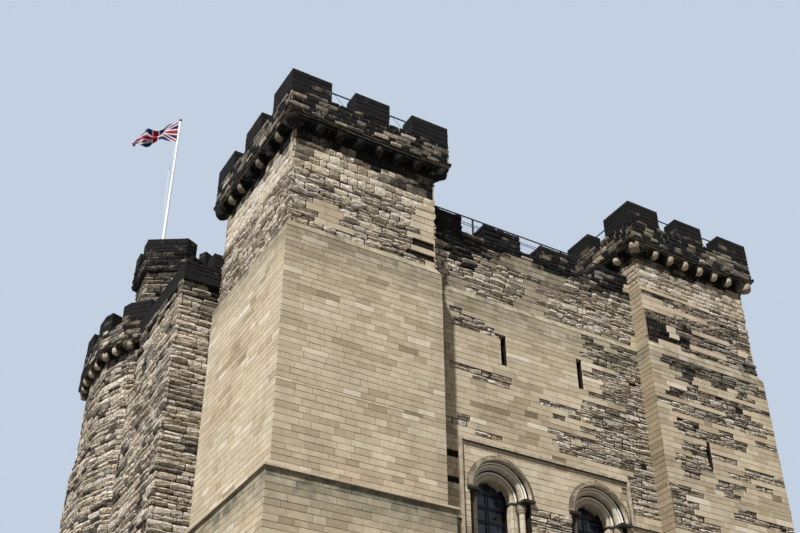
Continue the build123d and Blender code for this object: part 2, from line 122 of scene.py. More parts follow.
def makeLight():
    sun = bpy.data.lights.new("sunLamp", "SUN")
    sun.energy = lightSet["sunStrength"]
    sun.angle = math.radians(lightSet["sunSoftness"])
    lamp = bpy.data.objects.new("sunLamp", sun)
    bpy.context.scene.collection.objects.link(lamp)
    turn, height = math.radians(lightSet["sunTurn"]), math.radians(lightSet["sunHeight"])
    level = math.cos(height)
    toSun = Vector((-math.sin(turn) * level, -math.cos(turn) * level, math.sin(height)))
    lamp.rotation_euler = toSun.to_track_quat("Z", "Y").to_euler()
    lamp.location = toSun * 60

    world = bpy.data.worlds.new("studioWorld")
    bpy.context.scene.world = world
    world.use_nodes = True
    tree = world.node_tree
    tree.nodes.clear()
    seen = seenOf(tree)
    sky = addNode(tree, "ShaderNodeBackground", {"Color": (1, 1, 1, 1), "Strength": lightSet["skyStrength"]})
    backdrop = addNode(tree, "ShaderNodeBackground", {"Color": lightSet["backdrop"], "Strength": 1.0})
    mixed = addNode(tree, "ShaderNodeMixShader", {0: seen, 1: sky.outputs[0], 2: backdrop.outputs[0]})
    addNode(tree, "ShaderNodeOutputWorld", {"Surface": mixed.outputs[0]})
    bpy.context.scene.view_settings.view_transform = "Standard"


def makeFloor():
    # Pale where the camera sees it, darker where it throws light back up at the walls
    reach = lightSet["floorReach"]
    mesh = bpy.data.meshes.new("studioFloor")
    corners = [(-reach, -reach, 0), (reach, -reach, 0), (reach, reach, 0), (-reach, reach, 0)]
    mesh.from_pydata(corners, [], [(0, 1, 2, 3)])
    floor = bpy.data.objects.new("studioFloor", mesh)
    bpy.context.scene.collection.objects.link(floor)
    material, tree, surface = newMaterial("studioFloor", 0.9)
    colour = mixColour(tree, seenOf(tree), lightSet["floorLit"], lightSet["floorSeen"])
    tree.links.new(colour, surface.inputs["Base Color"])
    mesh.materials.append(material)


# Node helpers


def addNode(tree, kind, inputs=None, **settings):
    node = tree.nodes.new(kind)
    for key, value in settings.items():
        setattr(node, key, value)
    for key, value in (inputs or {}).items():
        if isinstance(value, bpy.types.NodeSocket):
            tree.links.new(value, node.inputs[key])
        else:
            node.inputs[key].default_value = value
    return node


def addMath(tree, operation, a, b=0.0, clamp=False):
    node = addNode(tree, "ShaderNodeMath", {0: a, 1: b}, operation=operation, use_clamp=clamp)
    return node.outputs[0]


def plus(tree, a, b, clamp=False):
    return addMath(tree, "ADD", a, b, clamp)


def minus(tree, a, b):
    return addMath(tree, "SUBTRACT", a, b)


def times(tree, a, b):
    return addMath(tree, "MULTIPLY", a, b)


def shareOf(tree, a, b):
    return addMath(tree, "DIVIDE", a, b)


def largest(tree, a, b):
    return addMath(tree, "MAXIMUM", a, b)


def isAbove(tree, a, b):
    return addMath(tree, "GREATER_THAN", a, b)


def isBelow(tree, a, b):
    return addMath(tree, "LESS_THAN", a, b)


def sizeOf(tree, a):
    return addMath(tree, "ABSOLUTE", a)


def mixColour(tree, factor, a, b, blend="MIX"):
    node = addNode(tree, "ShaderNodeMix", {0: factor, 6: a, 7: b}, data_type="RGBA", blend_type=blend)
    return node.outputs[2]


def mixValue(tree, factor, a, b):
    return addNode(tree, "ShaderNodeMix", {0: factor, 2: a, 3: b}).outputs[0]


def rampOf(tree, value, stops):
    # Stops are places with a colour, or with one number for a grey
    node = addNode(tree, "ShaderNodeValToRGB", {0: value})
    ramp = node.color_ramp
    while len(ramp.elements) < len(stops):
        ramp.elements.new(0.5)
    for element, (place, colour) in zip(ramp.elements, stops):
        element.position = place
        element.color = (colour,) * 3 + (1,) if isinstance(colour, float) else (*colour, 1)
    return node.outputs[0]


def stepOf(tree, value, low, high):
    inputs = {"Value": value, "From Min": low, "From Max": high}
    return addNode(tree, "ShaderNodeMapRange", inputs, interpolation_type="SMOOTHSTEP").outputs[0]


def noiseOf(tree, place, scale, detail=4, roughness=0.6, stretch=None):
    if stretch:
        place = addNode(tree, "ShaderNodeMapping", {"Vector": place, "Scale": stretch}).outputs[0]
    inputs = {"Vector": place, "Scale": scale, "Detail": detail, "Roughness": roughness}
    return addNode(tree, "ShaderNodeTexNoise", inputs).outputs["Fac"]


def bricksOf(tree, place, wide, high, joint, greys, smooth=0.1, offset=0.5):
    # Bricks, slabs or panes: the tone of each one, and where its joints are
    darkest, palest, between = ((grey, grey, grey, 1) for grey in greys)
    inputs = {
        "Vector": place, "Scale": 1.0, "Mortar Size": joint, "Mortar Smooth": smooth, "Brick Width": wide,
        "Row Height": high, "Color1": darkest, "Color2": palest, "Mortar": between,
    }
    bricks = addNode(tree, "ShaderNodeTexBrick", inputs, offset=offset)
    tone = addNode(tree, "ShaderNodeSeparateColor", {0: bricks.outputs["Color"]}).outputs[0]
    return tone, bricks.outputs["Fac"]


def attributeOf(tree, name):
    # A value that each point of the mesh carries
    return addNode(tree, "ShaderNodeAttribute", attribute_name=name).outputs["Fac"]


def axesOf(tree, vector):
    return addNode(tree, "ShaderNodeSeparateXYZ", {0: vector}).outputs


def objectPlace(tree):
    return addNode(tree, "ShaderNodeTexCoord").outputs["Object"]


def facingOf(tree):
    # The way that the surface faces
    return axesOf(tree, addNode(tree, "ShaderNodeNewGeometry").outputs["Normal"])


def seenOf(tree):
    # 1 where the camera looks, straight, in a reflection or through glass
    path = addNode(tree, "ShaderNodeLightPath").outputs
    seen = largest(tree, path["Is Camera Ray"], path["Is Transmission Ray"])
    return largest(tree, seen, path["Is Glossy Ray"])


def newMaterial(name, roughness=0.85, shine=0.05):
    material = bpy.data.materials.new(name)
    material.use_nodes = True
    tree = material.node_tree
    surface = tree.nodes["Principled BSDF"]
    surface.inputs["Roughness"].default_value = roughness
    surface.inputs["Specular IOR Level"].default_value = shine
    return material, tree, surface


def addBump(tree, surface, height, strength, distance):
    bump = addNode(tree, "ShaderNodeBump", {"Height": height, "Strength": strength, "Distance": distance})
    tree.links.new(bump.outputs[0], surface.inputs["Normal"])


def dress(names, material):
    # Give CAD nodes their finished material
    for name in names:
        mesh = nodes[name].data
        mesh.materials.clear()
        mesh.materials.append(material)


# Stone

stoneColours = {
    "clean": [
        (0.00, (0.19, 0.145, 0.095)),
        (0.22, (0.37, 0.295, 0.195)),
        (0.50, (0.575, 0.475, 0.335)),
        (0.75, (0.67, 0.575, 0.425)),
        (0.90, (0.75, 0.665, 0.525)),
        (1.00, (0.80, 0.735, 0.655)),
    ],
    "eroded": [
        (0.34, (0.025, 0.018, 0.013)),
        (0.43, (0.17, 0.125, 0.085)),
        (0.49, (0.55, 0.45, 0.33)),
        (0.58, (0.93, 0.86, 0.76)),
    ],
    # joints: near black where painted shade fills deep open gaps, up to pale mortar
    "joint": [(0.0, (0.030, 0.023, 0.018)), (0.45, (0.21, 0.17, 0.115)), (1.0, (0.50, 0.46, 0.39))],
    "soot": (0.0088, 0.0092, 0.0104, 1),
    "damp": (0.150, 0.145, 0.105, 1),
    # near-black bedding: painted shade for the deep gaps and holes between the outside stones
    "core": (0.018, 0.014, 0.010, 1),
}


def weathered(tree, tone, wear, soot, place):
    # Colour of a stone from its own tone, how far its face is eaten away, and its soot
    clean = rampOf(tree, tone, stoneColours["clean"])
    mottle = rampOf(tree, noiseOf(tree, place, 5.5, 6, 0.65), [(0.30, 0.80), (0.66, 1.0)])
    clean = mixColour(tree, 1.0, clean, mottle, "MULTIPLY")
    streaks = rampOf(tree, noiseOf(tree, place, 1.1, 4, 0.6, (1, 1, 0.16)), [(0.35, 0.82), (0.6, 1.0)])
    clean = mixColour(tree, 0.7, clean, streaks, "MULTIPLY")
    eaten = rampOf(tree, noiseOf(tree, place, 9, 7, 0.72, (1, 1, 2.2)), stoneColours["eroded"])
    colour = mixColour(tree, times(tree, wear, 0.58), clean, eaten)
    blot = minus(tree, noiseOf(tree, place, 2.6, 6, 0.7), 0.5)
    blot = times(tree, times(tree, blot, 2.2), soot)
    cover = plus(tree, times(tree, soot, 1.3), blot, True)
    return mixColour(tree, times(tree, cover, 0.985), colour, stoneColours["soot"])


def makeStoneMaterial():
    material, tree, surface = newMaterial("weatheredStone", 0.9)
    place = objectPlace(tree)
    tone, wear, soot, damp, joint, front = (
        attributeOf(tree, "stone" + name) for name in ("Tone", "Wear", "Soot", "Damp", "Joint", "Front")
    )
    colour = weathered(tree, tone, wear, soot, place)
    patchy = rampOf(tree, noiseOf(tree, place, 3, 5, 0.65), [(0.35, 0.35), (0.62, 1.0)])
    damp = times(tree, times(tree, damp, patchy), 0.8)
    colour = mixColour(tree, damp, colour, stoneColours["damp"])
    # partly painted shade, partly mortar: the open joints and the sides of each stone take the joint colour,
    # near black in the worn work for the shade deep in its gaps
    bed = rampOf(tree, joint, stoneColours["joint"])
    back = minus(tree, 1.0, stepOf(tree, front, 0.15, 0.85))
    tree.links.new(mixColour(tree, back, colour, bed), surface.inputs["Base Color"])
    grain = times(tree, noiseOf(tree, place, 38, 5, 0.7), 0.3)
    pits = times(tree, noiseOf(tree, place, 12, 6, 0.75), wear)
    addBump(tree, surface, plus(tree, grain, pits), 0.8, 0.04)
    return material


def coursedPattern(tree, place):
    # Coursed work in every direction, for the faces that carry no stones of their own
    facing = facingOf(tree)
    at = axesOf(tree, place)
    sideways = isAbove(tree, sizeOf(tree, facing[0]), 0.7)
    level = isAbove(tree, sizeOf(tree, facing[2]), 0.7)
    along = mixValue(tree, level, mixValue(tree, sideways, at[0], at[1]), at[0])
    up = mixValue(tree, level, at[2], at[1])
    spot = addNode(tree, "ShaderNodeCombineXYZ", {0: along, 1: up}).outputs[0]
    tone, joints = bricksOf(tree, spot, 0.55, 0.24, 0.012, (0.2, 0.75, 0.5), 0.3)
    return tone, joints, level


def makeCoreMaterial():
    # Bedding behind the outside stones, painted near black as painted shade for the deep gaps and holes;
    # coursed work in the hall and flags on the walks
    material, tree, surface = newMaterial("beddedMasonry", 0.92)
    place = objectPlace(tree)
    tone, joints, level = coursedPattern(tree, place)
    at = axesOf(tree, place)
    inX = isBelow(tree, sizeOf(tree, at[0]), hallHigh.x + 0.03)
    inY = isBelow(tree, sizeOf(tree, at[1]), hallHigh.y + 0.03)
    shown = largest(tree, times(tree, inX, inY), level)
    colour = mixColour(tree, joints, weathered(tree, tone, 0.45, 0.12, place), (0.45, 0.41, 0.34, 1))
    # painted shade: outside the hall the bedding takes a near-black colour that stands in for the shade in
    # the gaps
    tree.links.new(mixColour(tree, shown, stoneColours["core"], colour), surface.inputs["Base Color"])
    height = minus(tree, times(tree, noiseOf(tree, place, 14, 6, 0.7), 0.6), joints)
    addBump(tree, surface, height, 0.8, 0.03)
    return material


def makeSootyMaterial():
    # Corbels, strings and the tops of the parapets; less black under the north and east ones
    material, tree, surface = newMaterial("sootyMasonry", 0.92)
    place = objectPlace(tree)
    tone, joints, level = coursedPattern(tree, place)
    patch = noiseOf(tree, place, 0.9, 3, 0.6)
    soot = mixValue(tree, stepOf(tree, patch, 0.30, 0.52), 0.72, 1.0)
    at = axesOf(tree, place)
    aside = largest(tree, isAbove(tree, at[0], 0.0), isAbove(tree, at[1], 0.0))
    corbels = times(tree, aside, isBelow(tree, at[2], corbelSet["shaftTop"]))
    soot = mixValue(tree, times(tree, corbels, 0.28), soot, 0.0)
    colour = weathered(tree, plus(tree, times(tree, tone, 0.5), 0.3), 0.6, soot, place)
    joints = times(tree, joints, level)
    tree.links.new(mixColour(tree, joints, colour, (0.16, 0.15, 0.13, 1)), surface.inputs["Base Color"])
    addBump(tree, surface, minus(tree, noiseOf(tree, place, 11, 7, 0.75), joints), 0.9, 0.05)
    return material


carvedSet = {
    # radii and heights are measured from the middle of an arch
    "voussoirs": 15,        # stones round each half ring
    "jambCourse": 0.24,
    "labelStone": 0.83,     # length of each stone of the label
    "hoodInner": 0.945,
    "abacusHigh": 0.085,
    "capitalHigh": 0.33,
    "shaftInner": 0.68,
    "dirt": (0.115, 0.088, 0.058, 1),
    # near black, for soot and for the painted shade of the carved stones
    "soot": (0.026, 0.023, 0.021, 1),
    "joint": (0.09, 0.07, 0.05, 1),
}


def carvedGrounds(tree, place):
    # Cloudy tone, dirt, and painted shade in the corners and grooves, where the stone is hemmed in
    tone = plus(tree, times(tree, noiseOf(tree, place, 1.3, 3), 0.5), 0.38)
    dirt = noiseOf(tree, place, 4.5, 6, 0.7)
    near = {"Distance": 0.16, "Color": (1, 1, 1, 1)}
    openness = addNode(tree, "ShaderNodeAmbientOcclusion", near, samples=8).outputs["AO"]
    return tone, dirt, minus(tree, 1.0, stepOf(tree, openness, 0.35, 0.8))


def finishCarved(tree, surface, place, tone, dirt, dark, grimeAndShade, joints):
    # painted shade from the corners and grooves, the undersides and the shaded jambs, with a little real
    # dirt, darkens the stone towards the soot colour
    soot = times(tree, largest(tree, grimeAndShade, times(tree, dirt, 0.25)), 0.95)
    colour = weathered(tree, tone, 0.15, 0.0, place)
    colour = mixColour(tree, dark, colour, carvedSet["dirt"])
    colour = mixColour(tree, soot, colour, carvedSet["soot"])
    colour = mixColour(tree, times(tree, joints, 0.7), colour, carvedSet["joint"])
    tree.links.new(colour, surface.inputs["Base Color"])
    addBump(tree, surface, minus(tree, noiseOf(tree, place, 16, 6, 0.7), joints), 0.6, 0.02)


def makeWindowStone():
    # Jointed round the arches and in courses down the jambs; dark on the hood, abacus and capitals, with
    # painted shade in the grooves and on the jambs turned from the sun
    material, tree, surface = newMaterial("carvedStone")
    place = objectPlace(tree)
    tone, dirt, grimeAndShade = carvedGrounds(tree, place)
    at = axesOf(tree, place)
    onSouth = isBelow(tree, at[1], hallLow.y)
    fromSouth = minus(tree, at[0], (southGlassLow.x + southGlassHigh.x) / 2)
    across = mixValue(tree, onSouth, at[1], fromSouth)
    aside = minus(tree, sizeOf(tree, across), (southGlassHigh.x - southGlassLow.x) / 2 - lightRadius)
    rise = minus(tree, at[2], springHeight)
    inArch = isAbove(tree, rise, 0.0)
    inJamb = minus(tree, 1.0, inArch)
    lifted = largest(tree, rise, 0.0)
    squares = plus(tree, addMath(tree, "POWER", aside, 2.0), addMath(tree, "POWER", lifted, 2.0))
    radius = addMath(tree, "SQRT", squares)

    turned = times(tree, addMath(tree, "ARCTAN2", rise, aside), carvedSet["voussoirs"] / math.pi)
    order = mixValue(tree, inArch, shareOf(tree, rise, carvedSet["jambCourse"]), turned)
    joints = isBelow(tree, addMath(tree, "FRACT", order), 0.045)
    each = addNode(tree, "ShaderNodeCombineXYZ", {0: addMath(tree, "FLOOR", order), 1: inArch}).outputs[0]
    own = addNode(tree, "ShaderNodeTexWhiteNoise", {"Vector": each}).outputs["Value"]
    tone = plus(tree, plus(tree, tone, times(tree, minus(tree, own, 0.5), 0.30)), 0.16)

    hood = times(tree, isAbove(tree, radius, carvedSet["hoodInner"]), isAbove(tree, rise, -0.01))
    abacus = times(tree, isAbove(tree, rise, -carvedSet["abacusHigh"]), inJamb)
    capital = times(tree, isAbove(tree, rise, -carvedSet["capitalHigh"]), inJamb)
    outer = isAbove(tree, sizeOf(tree, aside), carvedSet["shaftInner"])
    dark = largest(tree, largest(tree, hood, abacus), times(tree, times(tree, capital, outer), 0.6))
    dark = times(tree, dark, mixValue(tree, stepOf(tree, dirt, 0.35, 0.6), 0.62, 0.98))
    # painted shade: the outer jambs on the left of each light and the faces turned east, away from the sun,
    # are made near black
    onLeft = times(tree, aside, addMath(tree, "SIGN", across))
    onLeft = isBelow(tree, onLeft, -carvedSet["shaftInner"])
    away = stepOf(tree, facingOf(tree)[0], 0.1, 0.7)
    shadedJambs = times(tree, inJamb, largest(tree, onLeft, away))
    grimeAndShade = largest(tree, largest(tree, grimeAndShade, times(tree, shadedJambs, 0.97)), abacus)
    finishCarved(tree, surface, place, tone, dirt, dark, grimeAndShade, joints)
    return material


def makeLabelStone():
    # The flat label round each pair of windows, with painted shade making its underside black
    material, tree, surface = newMaterial("labelStone")
    place = objectPlace(tree)
    tone, dirt, grimeAndShade = carvedGrounds(tree, place)
    at = axesOf(tree, place)
    part = addMath(tree, "FRACT", shareOf(tree, plus(tree, at[0], at[1]), carvedSet["labelStone"]))
    joints = isBelow(tree, part, 0.012)
    dark = mixValue(tree, stepOf(tree, dirt, 0.42, 0.66), 0.05, 0.5)
    # painted shade: faces turned downwards are made black
    grimeAndShade = largest(tree, grimeAndShade, isBelow(tree, facingOf(tree)[2], -0.35))
    finishCarved(tree, surface, place, tone, dirt, dark, grimeAndShade, joints)
    return material


# Courses and stones

heights = {
    # levels of the CAD part that a bed joint has to meet, in metres above the ground
    "plinth": 2.4,
    "wallOffset": (10.4, 10.53),
    "windowSill": 11.3,
    "turretOffset": (12.75, 12.82, 12.88),
    "windowSpring": 13.86,
    "label": (15.145, 15.23),
    "slits": (17.85, 18.85),
    "setback": (19.8, 20.05),
    "buttressSetback": (20.65, 20.9),
    "walk": 22.0,
    "wallSill": 22.28,
    "wallTop": 22.82,
    "coping": 23.03,
    "corbels": (23.32, 23.63),
    "parapet": (23.82, 24.37),
    "turretSill": 24.52,
    "turretTop": 25.24,
    "flagBand": (27.65, 28.15),
    "flagSill": 28.55,
    "flagTop": 29.2,
}
walk, coping, turretSill = heights["walk"], heights["coping"], heights["turretSill"]
setback, corbelHead = heights["setback"][1], heights["corbels"][1]

sootRuns = {
    # the level that the black runs down from, and how far it usually runs
    "turret": (23.3, 0.6),
    "buttress": (23.0, 1.4),
    "wall": (22.0, 0.6),
}

dampBands = [
    # from, to, and how strong at most: below the two set-offs, and near the ground
    (18.7, 20.06, 1.3),
    (11.7, 12.76, 1.7),
    (-1.6, 1.6, 0.5),
]

roughParts = ("north_west", "west_buttress", "west_wall", "flag_turret")      # of rough stones

coursing = {
    # usual height of a course and how uneven
    "fine": (0.172, 0.14),
    "west": (0.20, 0.30),
    "bold": (0.225, 0.28),
}

deepRows = (0.46, 0.88, 1.0, 0.92)      # how far each level of a worn stone stands out, from its foot up
thinRows = (0.52, 1.0, 0.90)
roughColumns = (0.80, 1.0, 0.84)

finishes = {
    # long: range of lengths, out and spread: how far the face stands out, gap: the open joint below,
    # above and beside it, wear: 0 sharp to 1 eaten away, round: how far its corners are rounded off,
    # tones: spread of colour, joint: how pale
    "smooth": dict(
        long=(0.32, 0.8), out=0.048, spread=0.0015, gap=(0.008, 0.007, 0.007), wear=0,
        tones=0.10, joint=0.3,
    ),
    "facing": dict(
        long=(0.4, 0.9), out=0.045, spread=0.004, gap=(0.013, 0.010, 0.010), wear=0.15,
        tones=0.10, joint=0.25,
    ),
    "squared": dict(
        long=(0.22, 0.52), out=0.050, spread=0.014, gap=(0.034, 0.012, 0.018), wear=0.6, round=0.15,
        tones=0.23, joint=0.15, rows=deepRows,
    ),
    "rough": dict(
        long=(0.28, 0.8), out=0.064, spread=0.038, gap=(0.068, 0.016, 0.015), wear=1, round=0.4,
        tones=0.36, joint=0, rows=deepRows,
    ),
    "worn": dict(
        long=(0.4, 0.95), out=0.030, spread=0.032, gap=(0.062, 0.014, 0.022), wear=1, round=0.4,
        tones=0.40, joint=0, rows=thinRows,
    ),
    "bared": dict(
        long=(0.4, 0.95), out=0.056, spread=0.040, gap=(0.056, 0.012, 0.020), wear=1, round=0.4,
        tones=0.40, joint=0, rows=thinRows,
    ),
}

wornPatches = {
    # across from, across to, up from, up to: places where the facing is lost, on the south front
    "south wall": [
        (-3.3, -2.9, 19.1, 19.35), (-3.0, -1.9, 18.95, 19.2), (-2.9, -1.6, 18.75, 18.95),
        (-3.3, -1.45, 17.3, 17.55), (-2.3, -1.5, 17.1, 17.3), (-3.3, -2.7, 15.65, 15.9),
        (-2.8, -1.7, 15.45, 15.65), (1.4, 2.3, 19.5, 19.8), (2.9, 4, 19.5, 19.8), (1.35, 4, 19.3, 19.5),
        (1.7, 4, 18.85, 19.3), (2.6, 4, 18.65, 18.85), (1.75, 4, 18.3, 18.65), (2.0, 4, 17.9, 18.3),
        (1.8, 4, 17.7, 17.9), (2.7, 4, 17.45, 17.7), (1.4, 4, 17.15, 17.45), (0.1, 4, 16.98, 17.15),
        (0.5, 4, 16.8, 16.98), (0.2, 0.6, 16.6, 16.8), (1.4, 4, 16.2, 16.8), (0.05, 0.9, 15.9, 16.2),
        (1.45, 4, 15.65, 16.2), (0.0, 1.5, 15.65, 15.85), (2.8, 4, 14.3, 15.65), (-0.9, 0.45, 13.1, 13.65),
        (-0.6, 0.3, 11.9, 12.5),
    ],
    "south-east turret": [
        (4.3, 8.4, 19.2, 19.65), (4.9, 5.5, 18.55, 19.2), (6.4, 6.7, 18.7, 19.2), (7.3, 7.9, 18.8, 19.2),
        (4.7, 8.3, 18.45, 18.75), (4.15, 7.6, 18.2, 18.45), (6.3, 8.3, 18.05, 18.2),
        (3.95, 8.4, 17.9, 18.05), (4.4, 7.9, 17.68, 17.9), (4.4, 5.3, 17.25, 17.55),
        (6.3, 6.9, 17.35, 17.55), (7.7, 8.25, 17.3, 17.55), (4.25, 7.0, 16.85, 17.2),
        (4.7, 5.5, 16.3, 16.7), (4.1, 5.5, 16.0, 16.3), (5.6, 6.6, 16.35, 16.55), (7.05, 8.6, 16.1, 16.35),
        (6.4, 6.9, 15.9, 16.1), (7.65, 8.25, 15.72, 15.92), (4.4, 4.9, 15.65, 15.95),
        (5.9, 6.7, 15.55, 15.8), (5.5, 6.1, 15.38, 15.58), (6.0, 6.6, 15.2, 15.4),
        (4.15, 4.7, 15.08, 15.28), (4.0, 4.8, 14.8, 15.08), (4.0, 5.0, 14.4, 14.75),
        (6.4, 6.8, 14.85, 15.05), (6.2, 8.4, 14.5, 14.8), (4.0, 5.3, 13.9, 14.4), (5.9, 7.9, 13.2, 13.7),
        (4.6, 5.8, 12.2, 12.6),
    ],
}

soundPatches = {
    # and the places, among such stones, where some of the smooth facing is left
    "south wall": [
        (-1.1, 1.2, 21.5, 22.0), (0.45, 1.25, 21.15, 21.5), (-0.5, 0.2, 20.3, 21.2), (-0.6, 0.5, 20.0, 20.3),
        (-3.2, -2.5, 20.05, 20.45), (-2.0, -1.2, 21.2, 21.45),
    ],
    "south-east turret": [
        (4.5, 5.0, 20.05, 20.25), (6.0, 6.9, 20.35, 20.55), (4.65, 5.3, 20.55, 20.78), (7.5, 8.3, 20.6, 20.8),
        (5.85, 7.2, 20.92, 21.12), (3.9, 4.9, 21.3, 21.48), (3.9, 6.7, 21.48, 21.66),
        (4.1, 4.9, 21.66, 21.86), (4.0, 6.8, 22.0, 22.2),
    ],
    "south-west turret": [(-7.8, -6.8, 20.36, 21.05)],
}

paler = {
    # what is added to the tone of a stone, 0 dark to 1 pale
    "north_west": 0.18,
    "west_buttress": 0.28,
    # painted light in part: the west side of the south-west turret is made paler because the sun falls more
    # fully on it than on the south side; its top also has paler, cream stones
    "south_west, west side": 0.08,
    "south_west, west side, top": 0.42,
    "south_west, bared": 0.2,
    "south_west, squared": -0.02,
    "south_wall, worn": 0.3,
    "south_wall, bared": 0.38,
}

lostStones = [
    # where a stone is missing from the south front: across, up
    (-3.27, 14.78), (-3.27, 14.01), (-4.25, 20.35), (-4.1, 20.75),
]

plan = {
    "half": (8.55, 9.5),    # half the keep over its turrets
    "turretEdge": 0.02,     # allowed for where a turret's return meets the wall
    "parapetReach": 0.5,    # and above, where its parapet stands out over the wall on the corbels
    "northWest": (-3.2, 4.15),      # the canted turret lies west and north of this point
    "flagTurretFoot": 24,
    "flagTurretReach": 1.75,
    "footReach": 0.8,       # how far a battered foot stands out beside the buttress
    "stoneReach": 0.26,     # and the stones above it
    "buttressFront": 0.2,   # from the west parapet to what counts as the buttress
}


def partAt(x, y, z):
    # Which stretch of the building a point of its face belongs to
    fx, fy = (flagTurretLow.x + flagTurretHigh.x) / 2, (flagTurretLow.y + flagTurretHigh.y) / 2
    if z > plan["flagTurretFoot"] and math.hypot(x - fx, y - fy) < plan["flagTurretReach"]:
        return "flag_turret"
    if x < plan["northWest"][0] and y > plan["northWest"][1]:
        return "north_west"
    edge = plan["turretEdge"] if z < corbelSet["shaftTop"] else plan["parapetReach"]
    if abs(x) >= hallHigh.x - edge and abs(y) >= hallHigh.y - edge:
        return ("north" if y > 0 else "south") + "_" + ("east" if x > 0 else "west")
    reach = plan["footReach"] if z < heights["plinth"] else plan["stoneReach"]
    if x < buttressHigh.x and buttressLow.y - reach < y < buttressHigh.y + reach:
        onTop = z > walk and buttressLow.y - 0.06 < y < buttressHigh.y + 0.06
        if x < westParapetLow.x - plan["buttressFront"] or onTop:
            return "west_buttress"
    if abs(y) * hallHigh.x > abs(x) * hallHigh.y:
        return "north_wall" if y > 0 else "south_wall"
    return "east_wall" if x > 0 else "west_wall"


def isTurret(part):
    return part in ("south_west", "south_east", "north_east", "north_west")


def coursingAt(part, z):
    # The west side and the top of the south-west turret are of less even stones
    if part in roughParts:
        return "west"
    return "bold" if part == "south_west" and heights["buttressSetback"][1] < z < corbelHead else "fine"


def inPatch(patches, name, across, up):
    return any(a <= across <= b and c <= up <= d for a, b, c, d in patches[name])


def drift(x, y, z, scale, seed=0.0):
    # Slow change from place to place, about -0.5 to 0.5
    return noise.noise(Vector((x * scale + seed, y * scale - seed, z * scale * 1.6 + seed)))


def finishAt(part, facing, x, y, z):
    # The finish of the stone at a place, from what the photo shows and the like on the hidden sides
    upright, south, west = facing[2] < 0.3, facing[1] < -0.7, facing[0] < -0.7
    if isTurret(part) and z > corbelHead:
        return "facing" if z > turretSill else "squared"
    if part in roughParts:
        return "facing" if z > (heights["flagSill"] if part == "flag_turret" else coping) else "rough"
    if not isTurret(part) and z > walk:
        return "squared"
    if part == "south_west":
        if z < setback or not upright or south and inPatch(soundPatches, "south-west turret", x, z):
            return "smooth"
        if south and x > -4.4 + drift(0, 0, z, 3) * 0.3 and z < walk:
            return "facing"         # a ragged strip is left at the right edge
        return "bared" if z < walk else "squared"
    if part == "south_east" and west:
        return "smooth" if z < 21.2 else "facing" if z < heights["wallSill"] else "squared"
    if not upright or z < heights["plinth"]:
        return "smooth"
    if part == "south_east" and south:
        if x < 3.95 + 0.25 * drift(0, 1, z, 4):
            return "smooth"         # and one at this turret's left edge
        if z > setback:
            sound = inPatch(soundPatches, "south-east turret", x, z)
            return "smooth" if sound else "squared" if z > 22.1 else "worn"
        return "worn" if inPatch(wornPatches, "south-east turret", x, z) else "smooth"
    if part == "south_wall":
        if z > setback:
            return "facing" if inPatch(soundPatches, "south wall", x, z) else "bared"
        return "worn" if inPatch(wornPatches, "south wall", x, z) else "smooth"
    if z > setback:
        return "squared" if drift(x, y, z, 1.1, 6) > 0 else "bared"
    return "worn" if drift(x, y, z, 0.62, 3) > 0.17 + 0.012 * abs(z - 14) else "smooth"


def topSoot(part, x, z, chance, patch):
    # Parapets: black above the sill of the crenels, mixed below it
    if z > (turretSill if isTurret(part) else coping if part == "west_buttress" else heights["wallSill"]):
        if part == "south_wall" and z < 22.6 and x > -1.4 and chance < 0.4:
            return 0.5 + chance
        if isTurret(part) and z < 24.95 and chance < 0.25:
            return 0.62 + 0.8 * chance
        return 0.35 if chance < 0.015 else 0.94 + 0.1 * chance
    if isTurret(part):
        return 0.2 if chance < 0.12 else 0.56 if chance < 0.48 else 0.9 + 0.3 * patch
    return 0.3 if chance < 0.05 else 0.6 if chance < 0.25 else 0.92 + 0.3 * patch


def sootAt(part, facing, x, y, z, name, draw):
    # How black a stone is, 0 to 1
    patch = drift(x, y, z, 0.9, 7)
    chance = draw.random()
    if part == "flag_turret":
        if z < heights["flagBand"][0]:
            return 0.1 + 0.6 * chance
        return 0.65 + 0.3 * chance if z < heights["flagSill"] else 0.75 + 0.25 * chance
    kind = "turret" if isTurret(part) else "buttress" if part == "west_buttress" else "wall"
    top, reach = sootRuns[kind]
    if z > top:
        return topSoot(part, x, z, chance, patch)
    # it is washed down from there, further in some places than in others
    soot = max(0.0, 1 - (top - z) / (reach * (1 + patch))) * (0.2 + 0.9 * chance)
    if part in roughParts:
        soot += max(0, patch + 0.12) * 1.1 * chance
        if chance > (0.80 if part == "north_west" else 0.9):
            soot = max(soot, 0.6)
    if part == "south_west" and facing[1] < -0.7:
        # a black band under the corbels, deeper towards its right end, and dark stones at its left
        start = 23.25 - 0.6 * min(1.0, max(0.0, (x + 6.4) / 0.6))
        if z > start + 0.2 * patch and chance < 0.85:
            soot = max(soot, 0.55 + 0.5 * chance)
        elif 22.3 < z < 23.1 and x < -7.6 and chance < 0.5:
            soot = max(soot, 0.5)
    if part == "south_wall":
        # darker towards the battlements, with a black streak near the left end
        if z > 21.2:
            soot = max(soot, (z - 21.2) / 0.8 * 0.45 + 0.6 * (chance - 0.5))
        if z > 20.9 and -2.9 < x - patch < -2.1:
            soot = max(soot, 0.6 + 0.4 * chance)
        if name == "facing":
            soot = max(soot, (0.34 if z > 21.1 else 0.16) + 0.2 * chance)
    if name in ("worn", "bared"):
        soot += 0.16 * chance
        # the upper patches of the south-east turret are the darkest
        if part == "south_east" and 17.6 < z < 22.2:
            soot += 0.2 + 0.8 * patch + (0.22 if x < 5.7 and 19 < z < 21.5 else 0.0)
            soot = min(soot, 0.86)
        if part == "south_wall" and z < heights["setback"][0]:
            soot += 0.4 * patch
    return min(1.0, max(0.0, soot))


